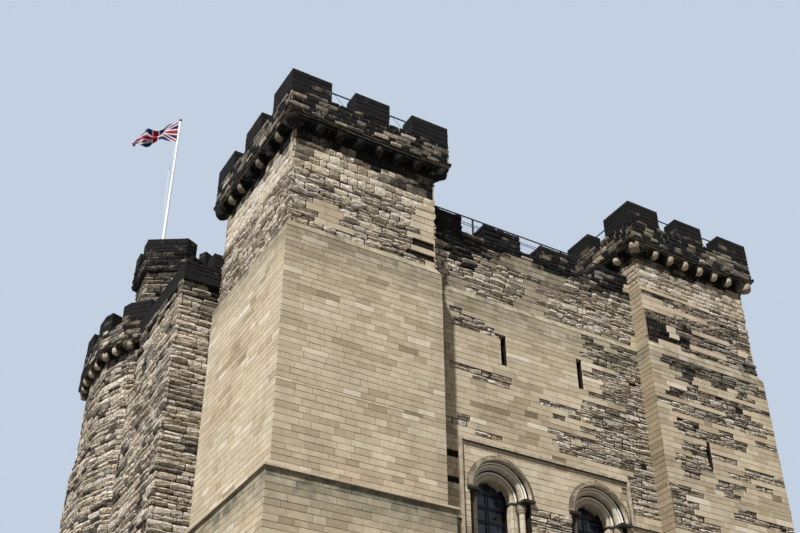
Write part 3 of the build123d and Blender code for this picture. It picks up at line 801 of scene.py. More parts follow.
def dampAt(part, z, draw):
    # Grey-green growth on the stones below a set-off and near the ground
    if part in roughParts:
        return 0.25 if z < 1.5 else 0.0
    for low, high, most in dampBands:
        if low < z < high:
            share = (z - low) / (high - low) if low > 0 else 1 - z / high
            return most * share * (0.5 + 0.6 * draw.random())
    return 0.0


def toneAt(part, facing, z, name, tone, chance):
    # Paler and darker stones, and what each part of the building adds to the usual tone
    west = facing[0] < -0.7
    worn = finishes[name]["wear"] > 0.5
    if part == "south_east" and west:
        tone = 0.15 + 0.35 * (tone - 0.5)
    elif name == "smooth":
        palest = 0.82 if part == "south_west" else 0.88
        tone = palest if chance < 0.03 else tone - 0.18 if chance < 0.09 else tone
    elif worn:
        strong = 0.0 if name == "squared" else 0.08
        tone = 0.97 if chance < 0.2 + strong else 0.10 if chance > 0.82 - strong else tone + 0.08
    if part in ("north_west", "west_buttress"):
        tone += paler[part]
    elif part == "south_west" and west:
        # painted light in part: the sunlit west side is made paler
        tone += paler["south_west, west side"] if z < setback else paler["south_west, west side, top"]
    elif part == "south_west" and worn:
        tone += paler["south_west, bared"] if name == "bared" else paler["south_west, squared"]
    elif part == "south_wall" and name == "worn" and z < heights["setback"][0]:
        tone += paler["south_wall, worn"]
    elif part == "south_wall" and name == "bared" and z < 21.9:
        tone += paler["south_wall, bared"]
    return min(1, max(0, tone))


def bedJoints(usual, uneven):
    # Levels of all bed joints: courses of about the usual height, fitted between the fixed levels
    draw = random.Random(11)
    fixed = [0, *np.hstack(list(heights.values())).tolist()]
    beds = []
    for low, high in zip(fixed, fixed[1:]):
        count = max(1, round((high - low) / usual))
        shares = [1 + draw.uniform(-1, 1) * uneven for _ in range(count)]
        beds += [low + (high - low) * sum(shares[:k]) / sum(shares) for k in range(count)]
    return beds + fixed[-1:]


def gatherFaces():
    # All triangles of the masonry, grouped by the plane that they lie in
    corners, roofing = [], []
    for name in masonry:
        mesh = nodes[name].data
        mesh.calc_loop_triangles()
        points = np.empty(len(mesh.vertices) * 3)
        mesh.vertices.foreach_get("co", points)
        order = np.empty(len(mesh.loop_triangles) * 3, np.int32)
        mesh.loop_triangles.foreach_get("vertices", order)
        corners.append(points.reshape(-1, 3)[order.reshape(-1, 3)])
        if slotOf[name] != "sooty_stone":
            roofing.append(corners[-1])
    corners, roofing = np.concatenate(corners), np.concatenate(roofing)
    across = np.cross(corners[:, 1] - corners[:, 0], corners[:, 2] - corners[:, 0])
    size = np.linalg.norm(across, axis=1)
    good = size > 1e-7
    corners, across, size = corners[good], across[good], size[good]
    normals = across / size[:, None]
    offsets = np.einsum("ij,ij->i", corners[:, 0], normals)
    keys = np.round(np.column_stack([normals, offsets]) * 100).astype(int)
    planes = {}
    for index, key in enumerate(map(tuple, keys)):
        planes.setdefault(key, []).append(index)
    return corners, roofing, normals, offsets, size / 2, planes


def spansAt(shape, height):
    # Where a level line crosses a set of triangles, as merged stretches
    if not len(shape):
        return []
    low, high = shape[:, :, 1].min(1), shape[:, :, 1].max(1)
    start = shape[(low < height) & (high > height)]
    if not len(start):
        return []
    end = np.roll(start, -1, axis=1)
    rise = end[:, :, 1] - start[:, :, 1]
    rise[rise == 0] = 1e-12
    share = (height - start[:, :, 1]) / rise
    at = start[:, :, 0] + share * (end[:, :, 0] - start[:, :, 0])
    outside = (share < 0) | (share > 1)
    lows = np.where(outside, np.inf, at).min(1)
    highs = np.where(outside, -np.inf, at).max(1)
    merged = []
    for a, b in sorted(zip(lows.tolist(), highs.tolist())):
        if merged and a < merged[-1][1] + 0.003:
            merged[-1][1] = max(merged[-1][1], b)
        else:
            merged.append([a, b])
    return merged


def without(spans, holes):
    for c, d in holes:
        left = []
        for a, b in spans:
            if d <= a or c >= b:
                left.append([a, b])
                continue
            if c - a > 0.02:
                left.append([a, c])
            if b - d > 0.02:
                left.append([d, b])
        spans = left
    return spans


def courseRuns(shape, hidden, low, high):
    # The stretches of one course, each with its two ends given at five heights
    levels = np.linspace(low + 0.004, high - 0.004, 5)
    rows = [without(spansAt(shape, z), spansAt(hidden, z)) for z in levels]
    base = max(rows, key=len)
    runs = []
    for i, (a, b) in enumerate(base):
        leftLimit = (base[i - 1][1] + a) / 2 if i else -1e9
        rightLimit = (b + base[i + 1][0]) / 2 if i + 1 < len(base) else 1e9
        left, right = [], []
        for row in rows:
            touching = [s for s in row if s[0] < b and s[1] > a]
            best = max(touching, key=lambda s: min(s[1], b) - max(s[0], a), default=(np.nan, np.nan))
            left.append(max(best[0], leftLimit))
            right.append(min(best[1], rightLimit))
        left, right = np.array(left), np.array(right)
        known = ~np.isnan(left)
        index = np.arange(5)
        left, right = (np.interp(index, index[known], side[known]) for side in (left, right))
        if (right - left).max() > 0.09:
            runs.append((left, right))
    return runs


class FacePlane:
    # A flat face of the masonry: places on it go by how far across and how high they are
    def __init__(self, normal, offset):
        self.normal = normal
        self.level = np.array([normal[0], normal[1], 0.0])
        self.lean = np.linalg.norm(self.level)
        self.level /= self.lean
        self.along = np.array([-self.level[1], self.level[0], 0.0])
        self.offset = offset

    def place(self, across, up, out=0.0):
        run = (self.offset - self.normal[2] * up) / self.lean
        flat = np.multiply.outer(across, self.along) + np.multiply.outer(run, self.level)
        return flat + np.multiply.outer(up, np.array([0.0, 0.0, 1.0])) + np.multiply.outer(out, self.normal)


def shapeOn(plane, triangles):
    # Triangles seen straight on: how far across and how high
    if not len(triangles):
        return np.empty((0, 3, 2))
    return np.stack([triangles @ plane.along, triangles[:, :, 2]], axis=2)


def layStones():
    # Lay courses over every face of the outside that is near upright, and cut them into stones
    corners, roofing, normals, offsets, areas, planes = gatherFaces()
    order = np.arange(len(roofing) * 3).reshape(-1, 3).tolist()
    solids = BVHTree.FromPolygons(roofing.reshape(-1, 3).tolist(), order)
    up = Vector((0, 0, 1))

    def openAbove(point):
        return solids.ray_cast(Vector(point), up)[0] is None

    bedSets = {kind: bedJoints(*coursing[kind]) for kind in coursing}
    draw = random.Random(5)
    stones = []
    for key in sorted(planes):
        members = planes[key]
        normal = normals[members].mean(0)
        normal /= np.linalg.norm(normal)
        if areas[members].sum() < 0.12 or not -0.25 < normal[2] < 0.8:
            continue
        plane = FacePlane(normal, offsets[members].mean())
        shape = shapeOn(plane, corners[members])
        hidden = shapeOn(plane, corners[planes.get(tuple(-k for k in key), [])])
        lowest, highest = shape[:, :, 1].min(), shape[:, :, 1].max()
        for kind, beds in bedSets.items():
            before = []
            for bed, top in zip(beds, beds[1:]):
                low, high = max(bed, lowest), min(top, highest)
                if high - low < 0.05:
                    continue
                joints = []
                for left, right in courseRuns(shape, hidden, low, high):
                    x, y, z = plane.place((left.mean() + right.mean()) / 2, (low + high) / 2)
                    if coursingAt(partAt(x, y, z), z) == kind:
                        joints += layRun(plane, left, right, low, high, before, openAbove, draw, stones)
                before = joints
    return stones


def layRun(plane, left, right, low, high, before, openAbove, draw, stones):
    # Cut one stretch of a course into stones, with no joint straight above the last course's
    middle = (low + high) / 2
    start, finish = left.mean(), right.mean()
    ends = [openAbove(plane.place(at + sign * 0.5, middle, -0.2)) for at, sign in ((start, -1), (finish, 1))]
    cuts = [start]
    firstInner, lastInner = left.max() + 0.12, right.min() - 0.12
    while True:
        x, y, z = plane.place(cuts[-1] + 0.25, middle)
        name = finishAt(partAt(x, y, z), plane.normal, x, y, z)
        shortest, longest = finishes[name]["long"]
        cut = cuts[-1] + shortest + (longest - shortest) * draw.random() ** 1.3
        if any(abs(cut - other) < 0.05 for other in before):
            cut += 0.09
        cut = max(cut, firstInner + 0.01)
        if cut > lastInner or finish - cut < shortest * 0.55:
            break
        cuts.append(cut)
    cuts.append(finish)
    last = len(cuts) - 2
    for i in range(last + 1):
        a = left if i == 0 else np.full(5, cuts[i])
        b = right if i == last else np.full(5, cuts[i + 1])
        centre = (a.mean() + b.mean()) / 2
        x, y, z = plane.place(centre, middle)
        part = partAt(x, y, z)
        behindCorbels = isTurret(part) and heights["corbels"][0] < z < corbelHead
        if behindCorbels or not openAbove(plane.place(centre, middle, 0.1)):
            continue
        south = plane.normal[1] < -0.9
        if south and any(cuts[i] < u < cuts[i + 1] and low < v < high for u, v in lostStones):
            continue
        name = finishAt(part, plane.normal, x, y, z)
        corner = (i == 0 and ends[0], i == last and ends[1])
        if name in ("worn", "bared"):
            layCore(plane, a, b, low, high, part, name, corner, draw, stones)
        else:
            stones.append(makeStone(plane, a, b, low, high, part, name, corner, draw))
    return cuts[1:-1]


def layCore(plane, left, right, low, high, part, name, corner, draw, stones):
    # Where the facing is lost the rough core shows, in thinner and shorter stones
    split = draw.uniform(0.4, 0.6)
    bands = [(0.0, 1.0)] if draw.random() < 0.42 else [(0.0, split), (split, 1.0)]
    for low1, high1 in bands:
        z0, z1 = low + (high - low) * low1, low + (high - low) * high1
        steps = np.linspace(low1, high1, 5), np.linspace(0, 1, 5)
        a, b = np.interp(*steps, left), np.interp(*steps, right)
        length = b.mean() - a.mean()
        count = max(1, round(length / draw.uniform(0.28, 0.6)))
        marks = [0.0] + [(k + draw.uniform(-0.3, 0.3)) / count for k in range(1, count)] + [1.0]
        for k in range(count):
            piece = (marks[k + 1] - marks[k]) * length
            if piece < 0.06 or piece < 0.3 and draw.random() < 0.04:
                continue
            c, d = a + (b - a) * marks[k], a + (b - a) * marks[k + 1]
            edge = (corner[0] and k == 0, corner[1] and k == count - 1)
            stones.append(makeStone(plane, c, d, z0, z1, part, name, edge, draw))


def makeStone(plane, left, right, low, high, part, name, corner, draw):
    finish, facing = finishes[name], plane.normal
    out = max(0.003, finish["out"] + finish["spread"] * draw.uniform(-1, 1))
    # at a corner each stone reaches past its face, but a hair less than the stones round the corner
    reach = out - (0.002 if facing[0] ** 2 > facing[1] ** 2 else 0.005)
    left, right = left - reach * corner[0], right + reach * corner[1]
    x, y, z = plane.place((left.mean() + right.mean()) / 2, (low + high) / 2)
    tone = 0.50 + 0.16 * drift(x, y, z, 0.45, 1) + draw.gauss(0, finish["tones"])
    chance = draw.random()
    tone = toneAt(part, facing, z, name, tone, chance)
    soot = sootAt(part, facing, x, y, z, name, draw)
    joint = finish["joint"]
    if soot > 0.6:
        joint = 0.45 + 0.5 * chance if isTurret(part) and corbelHead < z < turretSill else 0.0
    return {
        "plane": plane, "left": left, "right": right, "low": low, "high": high, "part": part, "finish": name,
        "corner": corner, "out": out, "tone": tone, "soot": soot, "joint": joint,
        "damp": dampAt(part, z, draw),
    }


def edgesAt(stones, t):
    # Both ends of every stone at the heights t, 0 to 1, of each
    at = np.clip(t * 4, 0, 3.9999)
    base = at.astype(int)
    share = at - base
    for key in ("left", "right"):
        side = np.array([s[key] for s in stones])
        yield np.take_along_axis(side, base, 1) * (1 - share) + np.take_along_axis(side, base + 1, 1) * share


def plainPatches(stones, finish, rng):
    # Flat stones with a bevel all round: four corners on the wall and four on the face
    count = len(stones)
    below, above, beside = finish["gap"]
    low, high, out = (np.array([s[k] for s in stones])[:, None] for k in ("low", "high", "out"))
    grow = rng.uniform(0.7, 1.4, (count, 1))
    foot, head = low + below * grow, high - above * grow
    upward = np.concatenate([low, low, high, high, foot, foot, head, head], axis=1)
    left, right = edgesAt(stones, (upward - low) / (high - low))
    onRight = np.array([0, 1, 1, 0, 0, 1, 1, 0])
    inward = np.array([0, 0, 0, 0, 1, -1, -1, 1]) * beside
    across = np.where(onRight, right, left) + inward * grow
    front = np.array([0, 0, 0, 0, 1, 1, 1, 1])
    tilt = rng.normal(0, 0.0006 + 0.004 * finish["wear"], (count, 8))
    depth = np.where(front, out + tilt, -0.006)
    faces = np.array([[4, 5, 6, 7], [0, 1, 5, 4], [1, 2, 6, 5], [2, 3, 7, 6], [3, 0, 4, 7]])
    return across, upward, depth, np.broadcast_to(front, across.shape), np.zeros_like(across), faces


def roughPatches(stones, finish, rng):
    # Worn stones: a grid of points, undercut at the foot and lumpy all over
    count, wear = len(stones), finish["wear"]
    rows, columns = len(finish["rows"]) + 2, len(roughColumns) + 2
    below, above, beside = finish["gap"]
    low, high, out = (np.array([s[k] for s in stones])[:, None] for k in ("low", "high", "out"))
    size = high - low
    foot = np.clip(below * rng.uniform(0.5, 1.5, (count, 1)) / size, 0.05, 0.36)
    head = np.clip(above * rng.uniform(0.5, 1.6, (count, 1)) / size, 0.03, 0.3)
    shares = np.linspace(0, 1, rows - 2)
    t = np.concatenate([0 * size, foot + (1 - foot - head) * shares, 1 + 0 * size], axis=1)
    left, right = edgesAt(stones, t)
    wide = (right - left).mean(1, keepdims=True)
    ends = np.array([s["corner"] for s in stones], float)       # 1 where the stone turns a corner
    side = np.clip(beside * rng.uniform(0.5, 1.5, (count, 1)) / wide, 0.03, 0.34) * (1 - 0.92 * ends)
    inner = side[:, :1] + (1 - side.sum(1, keepdims=True)) * np.linspace(0, 1, columns - 2)
    s = np.concatenate([0 * wide, inner, 1 + 0 * wide], axis=1)
    across = left[:, :, None] + s[:, None, :] * (right - left)[:, :, None]
    upward = np.broadcast_to((low + t * size)[:, :, None], across.shape).copy()
    rim = np.ones((rows, columns), bool)
    rim[1:-1, 1:-1] = False
    swell = np.zeros((rows, columns))
    swell[1:-1, 1:-1] = 1 - (1 - np.outer(finish["rows"], roughColumns)) * wear
    tilt = rng.normal(0, 0.009 * wear, (2, count, 1, 1))
    lumps = rng.normal(0, 0.0065 * wear, across.shape)
    leaning = tilt[0] * (s[:, None, :] - 0.5) + tilt[1] * (t[:, :, None] - 0.5)
    depth = out[:, :, None] * swell + leaning + lumps
    depth = np.where(rim, -0.006, np.clip(depth, 0.002, 0.1))
    firm = np.zeros((count, 1, columns))
    firm[:, 0, 1], firm[:, 0, -2] = ends[:, 0], ends[:, 1]
    loose = ~rim * wear * (1 - 0.8 * firm)
    across += rng.uniform(-0.016, 0.016, across.shape) * loose
    upward += rng.uniform(-0.013, 0.013, across.shape) * loose
    pull = rng.uniform(0.1, 1.0, (count, rows - 2, columns - 2)) * (1 - firm[:, :, 1:-1])
    pull[:, 1:-1], pull[:, :, 1:-1] = 0, 0
    pull *= finish["round"] * size[:, :, None]
    across[:, 1:-1, 1:-1] += pull * 0.26 * np.sign(0.5 - s[:, None, 1:-1])
    upward[:, 1:-1, 1:-1] += pull * 0.17 * np.sign(0.5 - t[:, 1:-1, None])
    # painted shade and light: each worn stone's tone runs from darker at its foot to paler at its head, as
    # under sun from above
    shade = np.broadcast_to(((t - 0.62) * 0.42)[:, :, None] * wear, across.shape)
    grid = np.arange(rows * columns).reshape(rows, columns)
    faces = np.stack([grid[:-1, :-1], grid[:-1, 1:], grid[1:, 1:], grid[1:, :-1]], axis=2).reshape(-1, 4)
    front = np.broadcast_to(np.where(rim, 0.0, 1.0), across.shape).copy()
    front[:, 1:-1, 0], front[:, 1:-1, -1] = ends[:, :1], ends[:, 1:]
    return *(a.reshape(count, -1) for a in (across, upward, depth, front, shade)), faces


def stonePatches(stones, name, seed):
    # All stones of one finish as arrays: points, faces and the values of each point
    finish = finishes[name]
    make = roughPatches if finish["wear"] > 0.5 else plainPatches
    across, upward, depth, front, shade, faces = make(stones, finish, np.random.default_rng(seed))
    points = np.stack([s["plane"].place(*row) for s, *row in zip(stones, across, upward, depth)])
    each = across.shape[1]
    values = {"stoneFront": front.reshape(-1)}
    for key in ("tone", "soot", "damp", "joint"):
        values["stone" + key.capitalize()] = np.repeat([s[key] for s in stones], each)
    # the painted shade and light of the worn stones is added to their tone
    values["stoneTone"] = np.clip(values["stoneTone"] + shade.reshape(-1), 0, 1)
    values["stoneWear"] = np.full(across.size, finish["wear"])
    faces = (faces[None] + (np.arange(len(stones)) * each)[:, None, None]).reshape(-1, 4)
    return points.reshape(-1, 3), faces, values


def addPiece(name, points, faces, material, values=None, smooth=False):
    mesh = bpy.data.meshes.new(name)
    mesh.from_pydata(points, [], faces)
    mesh.update()
    if smooth:
        mesh.shade_smooth()
    for key, numbers in (values or {}).items():
        mesh.attributes.new(key, "FLOAT", "POINT").data.foreach_set("value", np.asarray(numbers, np.float32))
    mesh.materials.append(material)
    piece = bpy.data.objects.new(name, mesh)
    bpy.context.scene.collection.objects.link(piece)
    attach(piece, "root")
    return piece


def stonePieceName(stone):
    part, z = stone["part"], (stone["low"] + stone["high"]) / 2
    if part == "flag_turret":
        return "flag_turret_stones"
    if isTurret(part):
        return part + ("_parapet_stones" if z > corbelHead else "_turret_stones")
    top = coping if part == "west_buttress" else walk
    return part + ("_parapet_stones" if z > top else "_facing_stones")


def buildStones(material):
    stones = layStones()
    groups = {}
    for stone in stones:
        groups.setdefault(stonePieceName(stone), []).append(stone)
    low, high = np.array(cadBox[0]), np.array(cadBox[1])
    total = 0
    for seed, (pieceName, members) in enumerate(sorted(groups.items())):
        points, faces, values, offset = [], [], {}, 0
        for name in finishes:
            chosen = [s for s in members if s["finish"] == name]
            if not chosen:
                continue
            p, f, v = stonePatches(chosen, name, 100 + seed)
            points.append(p)
            faces.append(f + offset)
            offset += len(p)
            for key, numbers in v.items():
                values.setdefault(key, []).append(numbers)
        points = np.clip(np.concatenate(points), low, high)
        faces = np.concatenate(faces)
        values = {key: np.concatenate(parts) for key, parts in values.items()}
        slot = "sooty_stone" if "parapet" in pieceName else "ashlar"
        addPiece(pieceName, points, faces, material, values)
        total += len(faces) * 2
        print(f"{pieceName}: {len(members)} stones, {len(faces) * 2} triangles")
    print(f"stones: {len(stones)} in {len(groups)} pieces, {total} triangles")


# Corbel heads under the turret parapets

corbelSet = {
    "pitch": 0.67,
    "shaftTop": 23.69,      # level where the shaft ends behind the corbels
    "middle": 23.475,
    "half": (0.12, 0.15, 0.145),        # along the wall, outwards, upwards
    "out": 0.185,
    "cornerHalf": (0.17, 0.20, 0.15),
    "cornerOut": 0.27,
    "square": 0.5,          # 1 for a ball, less for a blockier head
    "bareFrom": (-3.35, 4.35),      # the canted turret has none on its two sides inside the keep
    "black": (0.72, 0.98),          # soot on the south-west turret's heads
    "blackWest": (0.45, 0.85),      # and on its west side
    "pale": (0.0, 0.25),            # and on the other turrets'
    "rings": 8,
    "sides": 14,
}


def shaftCorners(turret):
    # Corners of a turret's shaft below its parapet, in order round it
    level = {
        (round(v.co.x, 3), round(v.co.y, 3))
        for v in nodes[turret].data.vertices
        if abs(v.co.z - corbelSet["shaftTop"]) < 0.005
    }
    level = sorted(level)
    return [Vector((*level[k], 0)) for k in geometry.convex_hull_2d(level)]


def addHead(heads, middle, along, outward, half, draw):
    # A rounded block, shrunk towards its foot and turned a little out of true
    first = len(heads["points"])
    rings, sides = corbelSet["rings"], corbelSet["sides"]
    along = (along + outward * draw.uniform(-0.12, 0.12)).normalized()
    square = Vector((along.y, -along.x, 0))
    outward = square * math.copysign(1, square.dot(outward))
    for ring in range(rings + 1):
        b = math.pi * (ring / rings - 0.5)
        for k in range(sides):
            a = 2 * math.pi * k / sides
            shape = (math.cos(b) * math.cos(a), math.cos(b) * math.sin(a), math.sin(b))
            u, v, w = (math.copysign(abs(c) ** corbelSet["square"], c) * h for c, h in zip(shape, half))
            lump = 1 + draw.uniform(-0.03, 0.03)
            v = v * (1 if w > 0 else 1 - 0.35 * (w / half[2]) ** 2)
            heads["points"].append(middle + along * u * lump + outward * v * lump + Vector((0, 0, w)))
    addRingFaces(heads["faces"], first, rings, sides)


def addRingFaces(faces, first, rings, sides):
    for ring in range(rings):
        for k in range(sides):
            a, b = first + ring * sides + k, first + ring * sides + (k + 1) % sides
            faces.append((a, b, b + sides, a + sides))


def buildCorbels(material):
    draw = random.Random(23)
    bareX, bareY = corbelSet["bareFrom"]
    for part in ("south_west", "south_east", "north_east", "north_west"):
        heads = newBits()
        values = {key: [] for key in ("stoneTone", "stoneWear", "stoneSoot", "stoneFront")}
        corners = shaftCorners(part + "_turret")
        centre = sum(corners, Vector()) / len(corners)
        for a, b in zip(corners, corners[1:] + corners[:1]):
            span = b - a
            along = span.normalized()
            outward = Vector((along.y, -along.x, 0))
            outward *= math.copysign(1, outward.dot((a + b) / 2 - centre))
            spaces = max(1, round(span.length / corbelSet["pitch"]))
            wide, deep, high = corbelSet["half"]
            narrowed = wide * min(1, span.length / spaces / corbelSet["pitch"])
            for k in range(spaces):
                at, way, out, half = a + span * k / spaces, outward, corbelSet["out"], (narrowed, deep, high)
                if k == 0:
                    way = (a - centre).normalized()
                if k == 0 and len(corners) == 4:
                    half, out = corbelSet["cornerHalf"], corbelSet["cornerOut"]
                    way = Vector((math.copysign(1, way.x), math.copysign(1, way.y), 0)).normalized()
                middle = at + way * out + Vector((0, 0, corbelSet["middle"]))
                if part == "north_west" and (middle.x > bareX or middle.y < bareY):
                    continue
                before = len(heads["points"])
                addHead(heads, middle, Vector((-way.y, way.x, 0)), way, half, draw)
                black = draw.uniform(*corbelSet["black" if part == "south_west" else "pale"])
                if part == "south_west" and way.x < -0.9:
                    black = draw.uniform(*corbelSet["blackWest"])
                if k == 0:
                    black = min(0.98, black + 0.2)
                for key, value in zip(values, (draw.uniform(0.45, 0.8), 0.5, black, 1.0)):
                    values[key] += [value] * (len(heads["points"]) - before)
        finishBits(part + "_corbel_heads", heads, material, values)


# Thin work: rods, rolls and wires gathered into one mesh


def newBits():
    return {"points": [], "faces": []}


def addRod(bits, start, end, radius, sides=6):
    start, end = Vector(start), Vector(end)
    axis = (end - start).normalized()
    one = axis.orthogonal().normalized()
    two = axis.cross(one)
    addTube(bits, [start, end], [(one, two), (one, two)], radius, sides)


def addTube(bits, centres, crosses, radius, sides=8):
    # A round bar along some points, each with its two directions across the bar
    first = len(bits["points"])
    for centre, (one, two) in zip(centres, crosses):
        for k in range(sides):
            a = 2 * math.pi * k / sides
            bits["points"].append(centre + (one * math.cos(a) + two * math.sin(a)) * radius)
    addRingFaces(bits["faces"], first, len(centres) - 1, sides)
    last = len(bits["points"]) - sides
    bits["faces"].append(tuple(first + k for k in reversed(range(sides))))
    bits["faces"].append(tuple(last + k for k in range(sides)))


def finishBits(name, bits, material, values=None):
    points = [tuple(point) for point in bits["points"]]
    return addPiece(name, points, bits["faces"], material, values, smooth=True)


# Windows

windowSet = {
    # radius from the middle of the arch, depth behind the wall's face, size of each small roll
    "rolls": [(0.905, 0.068, 0.030), (0.838, 0.094, 0.024), (0.700, 0.262, 0.026)],
    "rollSteps": 32,
    "barRadius": 0.020,
    "barDepth": 0.58,
    "barGap": 0.40,
}


def windowFrames(face):
    # Middle of each arch with its directions across and outwards
    if face == "south":
        ends, across, outward = (southGlassLow.x, southGlassHigh.x), Vector((1, 0, 0)), Vector((0, -1, 0))
        front = Vector((0, southFace, springHeight))
    else:
        ends, across, outward = (eastGlassLow.y, eastGlassHigh.y), Vector((0, 1, 0)), Vector((1, 0, 0))
        front = Vector((eastFace, 0, springHeight))
    low, high = ends
    return [(front + across * at, across, outward) for at in (low + lightRadius, high - lightRadius)]


def makeRollMaterial():
    # The slim rolls of the arches are painted paler than the stone round them, as painted light, so they read
    # bright even in the hood's shadow
    material, tree, surface = newMaterial("paleRolls", 0.8)
    place = objectPlace(tree)
    tone = plus(tree, times(tree, noiseOf(tree, place, 2.4, 4), 0.3), 0.82, True)
    # painted light: the rolls are mixed towards a pale cream
    colour = mixColour(tree, 0.55, weathered(tree, tone, 0.1, 0.0, place), (0.92, 0.87, 0.76, 1))
    tree.links.new(colour, surface.inputs["Base Color"])
    addBump(tree, surface, noiseOf(tree, place, 16, 6, 0.7), 0.5, 0.01)
    return material


def buildWindows(stone, iron):
    # Small rolls round the arches, and the bars of the windows
    up = Vector((0, 0, 1))
    thick, sill = windowSet["barRadius"], heights["windowSill"]
    for face in ("south", "east"):
        rolls, bars = newBits(), newBits()
        for middle, across, outward in windowFrames(face):
            for radius, depth, size in windowSet["rolls"]:
                turns = [math.pi * k / windowSet["rollSteps"] for k in range(windowSet["rollSteps"] + 1)]
                spokes = [across * math.cos(a) + up * math.sin(a) for a in turns]
                centres = [middle + spoke * radius - outward * depth for spoke in spokes]
                addTube(rolls, centres, [(spoke, outward) for spoke in spokes], size)
            back = middle - outward * windowSet["barDepth"]
            addRod(bars, back + up * (sill - springHeight), back + up * lightRadius, thick)
            count = int((springHeight + lightRadius - sill) / windowSet["barGap"])
            for k in range(1, count + 1):
                z = sill + k * windowSet["barGap"] - springHeight
                half = lightRadius if z < 0 else math.sqrt(max(0.01, lightRadius**2 - z**2))
                addRod(bars, back + up * z - across * half, back + up * z + across * half, thick)
        finishBits(f"{face}_arch_rolls", rolls, stone)
        finishBits(f"{face}_window_bars", bars, iron)


def makeGlassMaterial():
    # Small leaded panes, each set a little out of true, painted an opaque dark blue as painted shade for the
    # unlit room behind them
    material, tree, surface = newMaterial("leadedGlass", 0.12)
    place = objectPlace(tree)
    at = axesOf(tree, place)
    spot = addNode(tree, "ShaderNodeCombineXYZ", {0: plus(tree, at[0], at[1]), 1: at[2]}).outputs[0]
    each, lead = bricksOf(tree, spot, 0.275, 0.20, 0.006, (0, 1, 0), offset=0.0)
    # painted shade: the dark blues stand in for the unlit room seen through the glass
    darkRoomBlues = [(0.0, (0.006, 0.009, 0.020)), (0.7, (0.012, 0.018, 0.045)), (1.0, (0.03, 0.045, 0.09))]
    colour = mixColour(tree, lead, rampOf(tree, each, darkRoomBlues), (0.05, 0.05, 0.055, 1))
    tree.links.new(colour, surface.inputs["Base Color"])
    tree.links.new(mixValue(tree, lead, 0.1, 0.6), surface.inputs["Roughness"])
    surface.inputs["Specular IOR Level"].default_value = 0.5
    wobble = plus(tree, noiseOf(tree, place, 5, 2), times(tree, each, 0.5))
    addBump(tree, surface, plus(tree, wobble, lead), 0.4, 0.02)
    return material


# Lead, flags, iron and paint


def makeLeadMaterial():
    material, tree, surface = newMaterial("roofLead", 0.5, 0.2)
    place = objectPlace(tree)
    greys = [(0.3, (0.13, 0.135, 0.14)), (0.7, (0.34, 0.35, 0.36))]
    tree.links.new(rampOf(tree, noiseOf(tree, place, 2.2, 6, 0.65), greys), surface.inputs["Base Color"])
    surface.inputs["Metallic"].default_value = 0.35
    addBump(tree, surface, noiseOf(tree, place, 9, 4), 0.3, 0.02)
    return material


def makeFlagstoneMaterial():
    material, tree, surface = newMaterial("flagstones", 0.8)
    place = objectPlace(tree)
    tone, joints = bricksOf(tree, place, 0.9, 0.62, 0.012, (0.2, 0.7, 0.5))
    colour = weathered(tree, tone, 0.2, 0.08, place)
    colour = mixColour(tree, joints, colour, (0.12, 0.10, 0.08, 1))
    tree.links.new(colour, surface.inputs["Base Color"])
    height = minus(tree, times(tree, noiseOf(tree, place, 6, 5), 0.5), joints)
    addBump(tree, surface, height, 0.6, 0.02)
    return material


def makeIronMaterial():
    # Dark paint with spots of rust
    material, tree, surface = newMaterial("railIron", 0.55, 0.2)
    place = objectPlace(tree)
    spots = noiseOf(tree, place, 7, 6, 0.7)
    rust = [(0.45, (0.018, 0.020, 0.023)), (0.62, (0.035, 0.028, 0.024)), (0.75, (0.12, 0.055, 0.03))]
    tree.links.new(rampOf(tree, spots, rust), surface.inputs["Base Color"])
    tree.links.new(mixValue(tree, spots, 0.35, 0.8), surface.inputs["Roughness"])
    addBump(tree, surface, spots, 0.3, 0.004)
    return material


def makePaintMaterial():
    # White paint, a little dirty, with the dark cap of the pole's finial
    material, tree, surface = newMaterial("polePaint", 0.3, 0.3)
    place = objectPlace(tree)
    dirt = noiseOf(tree, place, 1.4, 5, 0.65, (3, 3, 0.4))
    colour = rampOf(tree, dirt, [(0.30, (0.66, 0.67, 0.67)), (0.55, (0.86, 0.87, 0.88))])
    cap = isAbove(tree, axesOf(tree, place)[2], poleHigh.z - poleSet["finialHigh"])
    tree.links.new(mixColour(tree, cap, colour, (0.03, 0.03, 0.035, 1)), surface.inputs["Base Color"])
    tree.links.new(mixValue(tree, dirt, 0.5, 0.25), surface.inputs["Roughness"])
    surface.inputs["Coat Weight"].default_value = 0.3
    return material


# Railing wires

railSet = {
    "post": 0.022,          # radius of a post
    "wire": 0.006,
    "panel": 0.95,          # length of each crossed panel on the turrets
    "turretLow": 0.55,      # foot of the crossed wires above the foot of the posts
    "walkLow": 0.3,
    "walkBelow": 0.24,      # top of the mesh below the top rail
    "meshWire": 0.0018,
    "meshGap": 0.13,
    "meshRows": 8,
    "edgeBar": 0.011,
    "edgeGap": 0.07,
    "clear": 0.32,          # between the mesh and the turrets
    "northStart": -3.21,    # where the north run leaves the canted turret
}


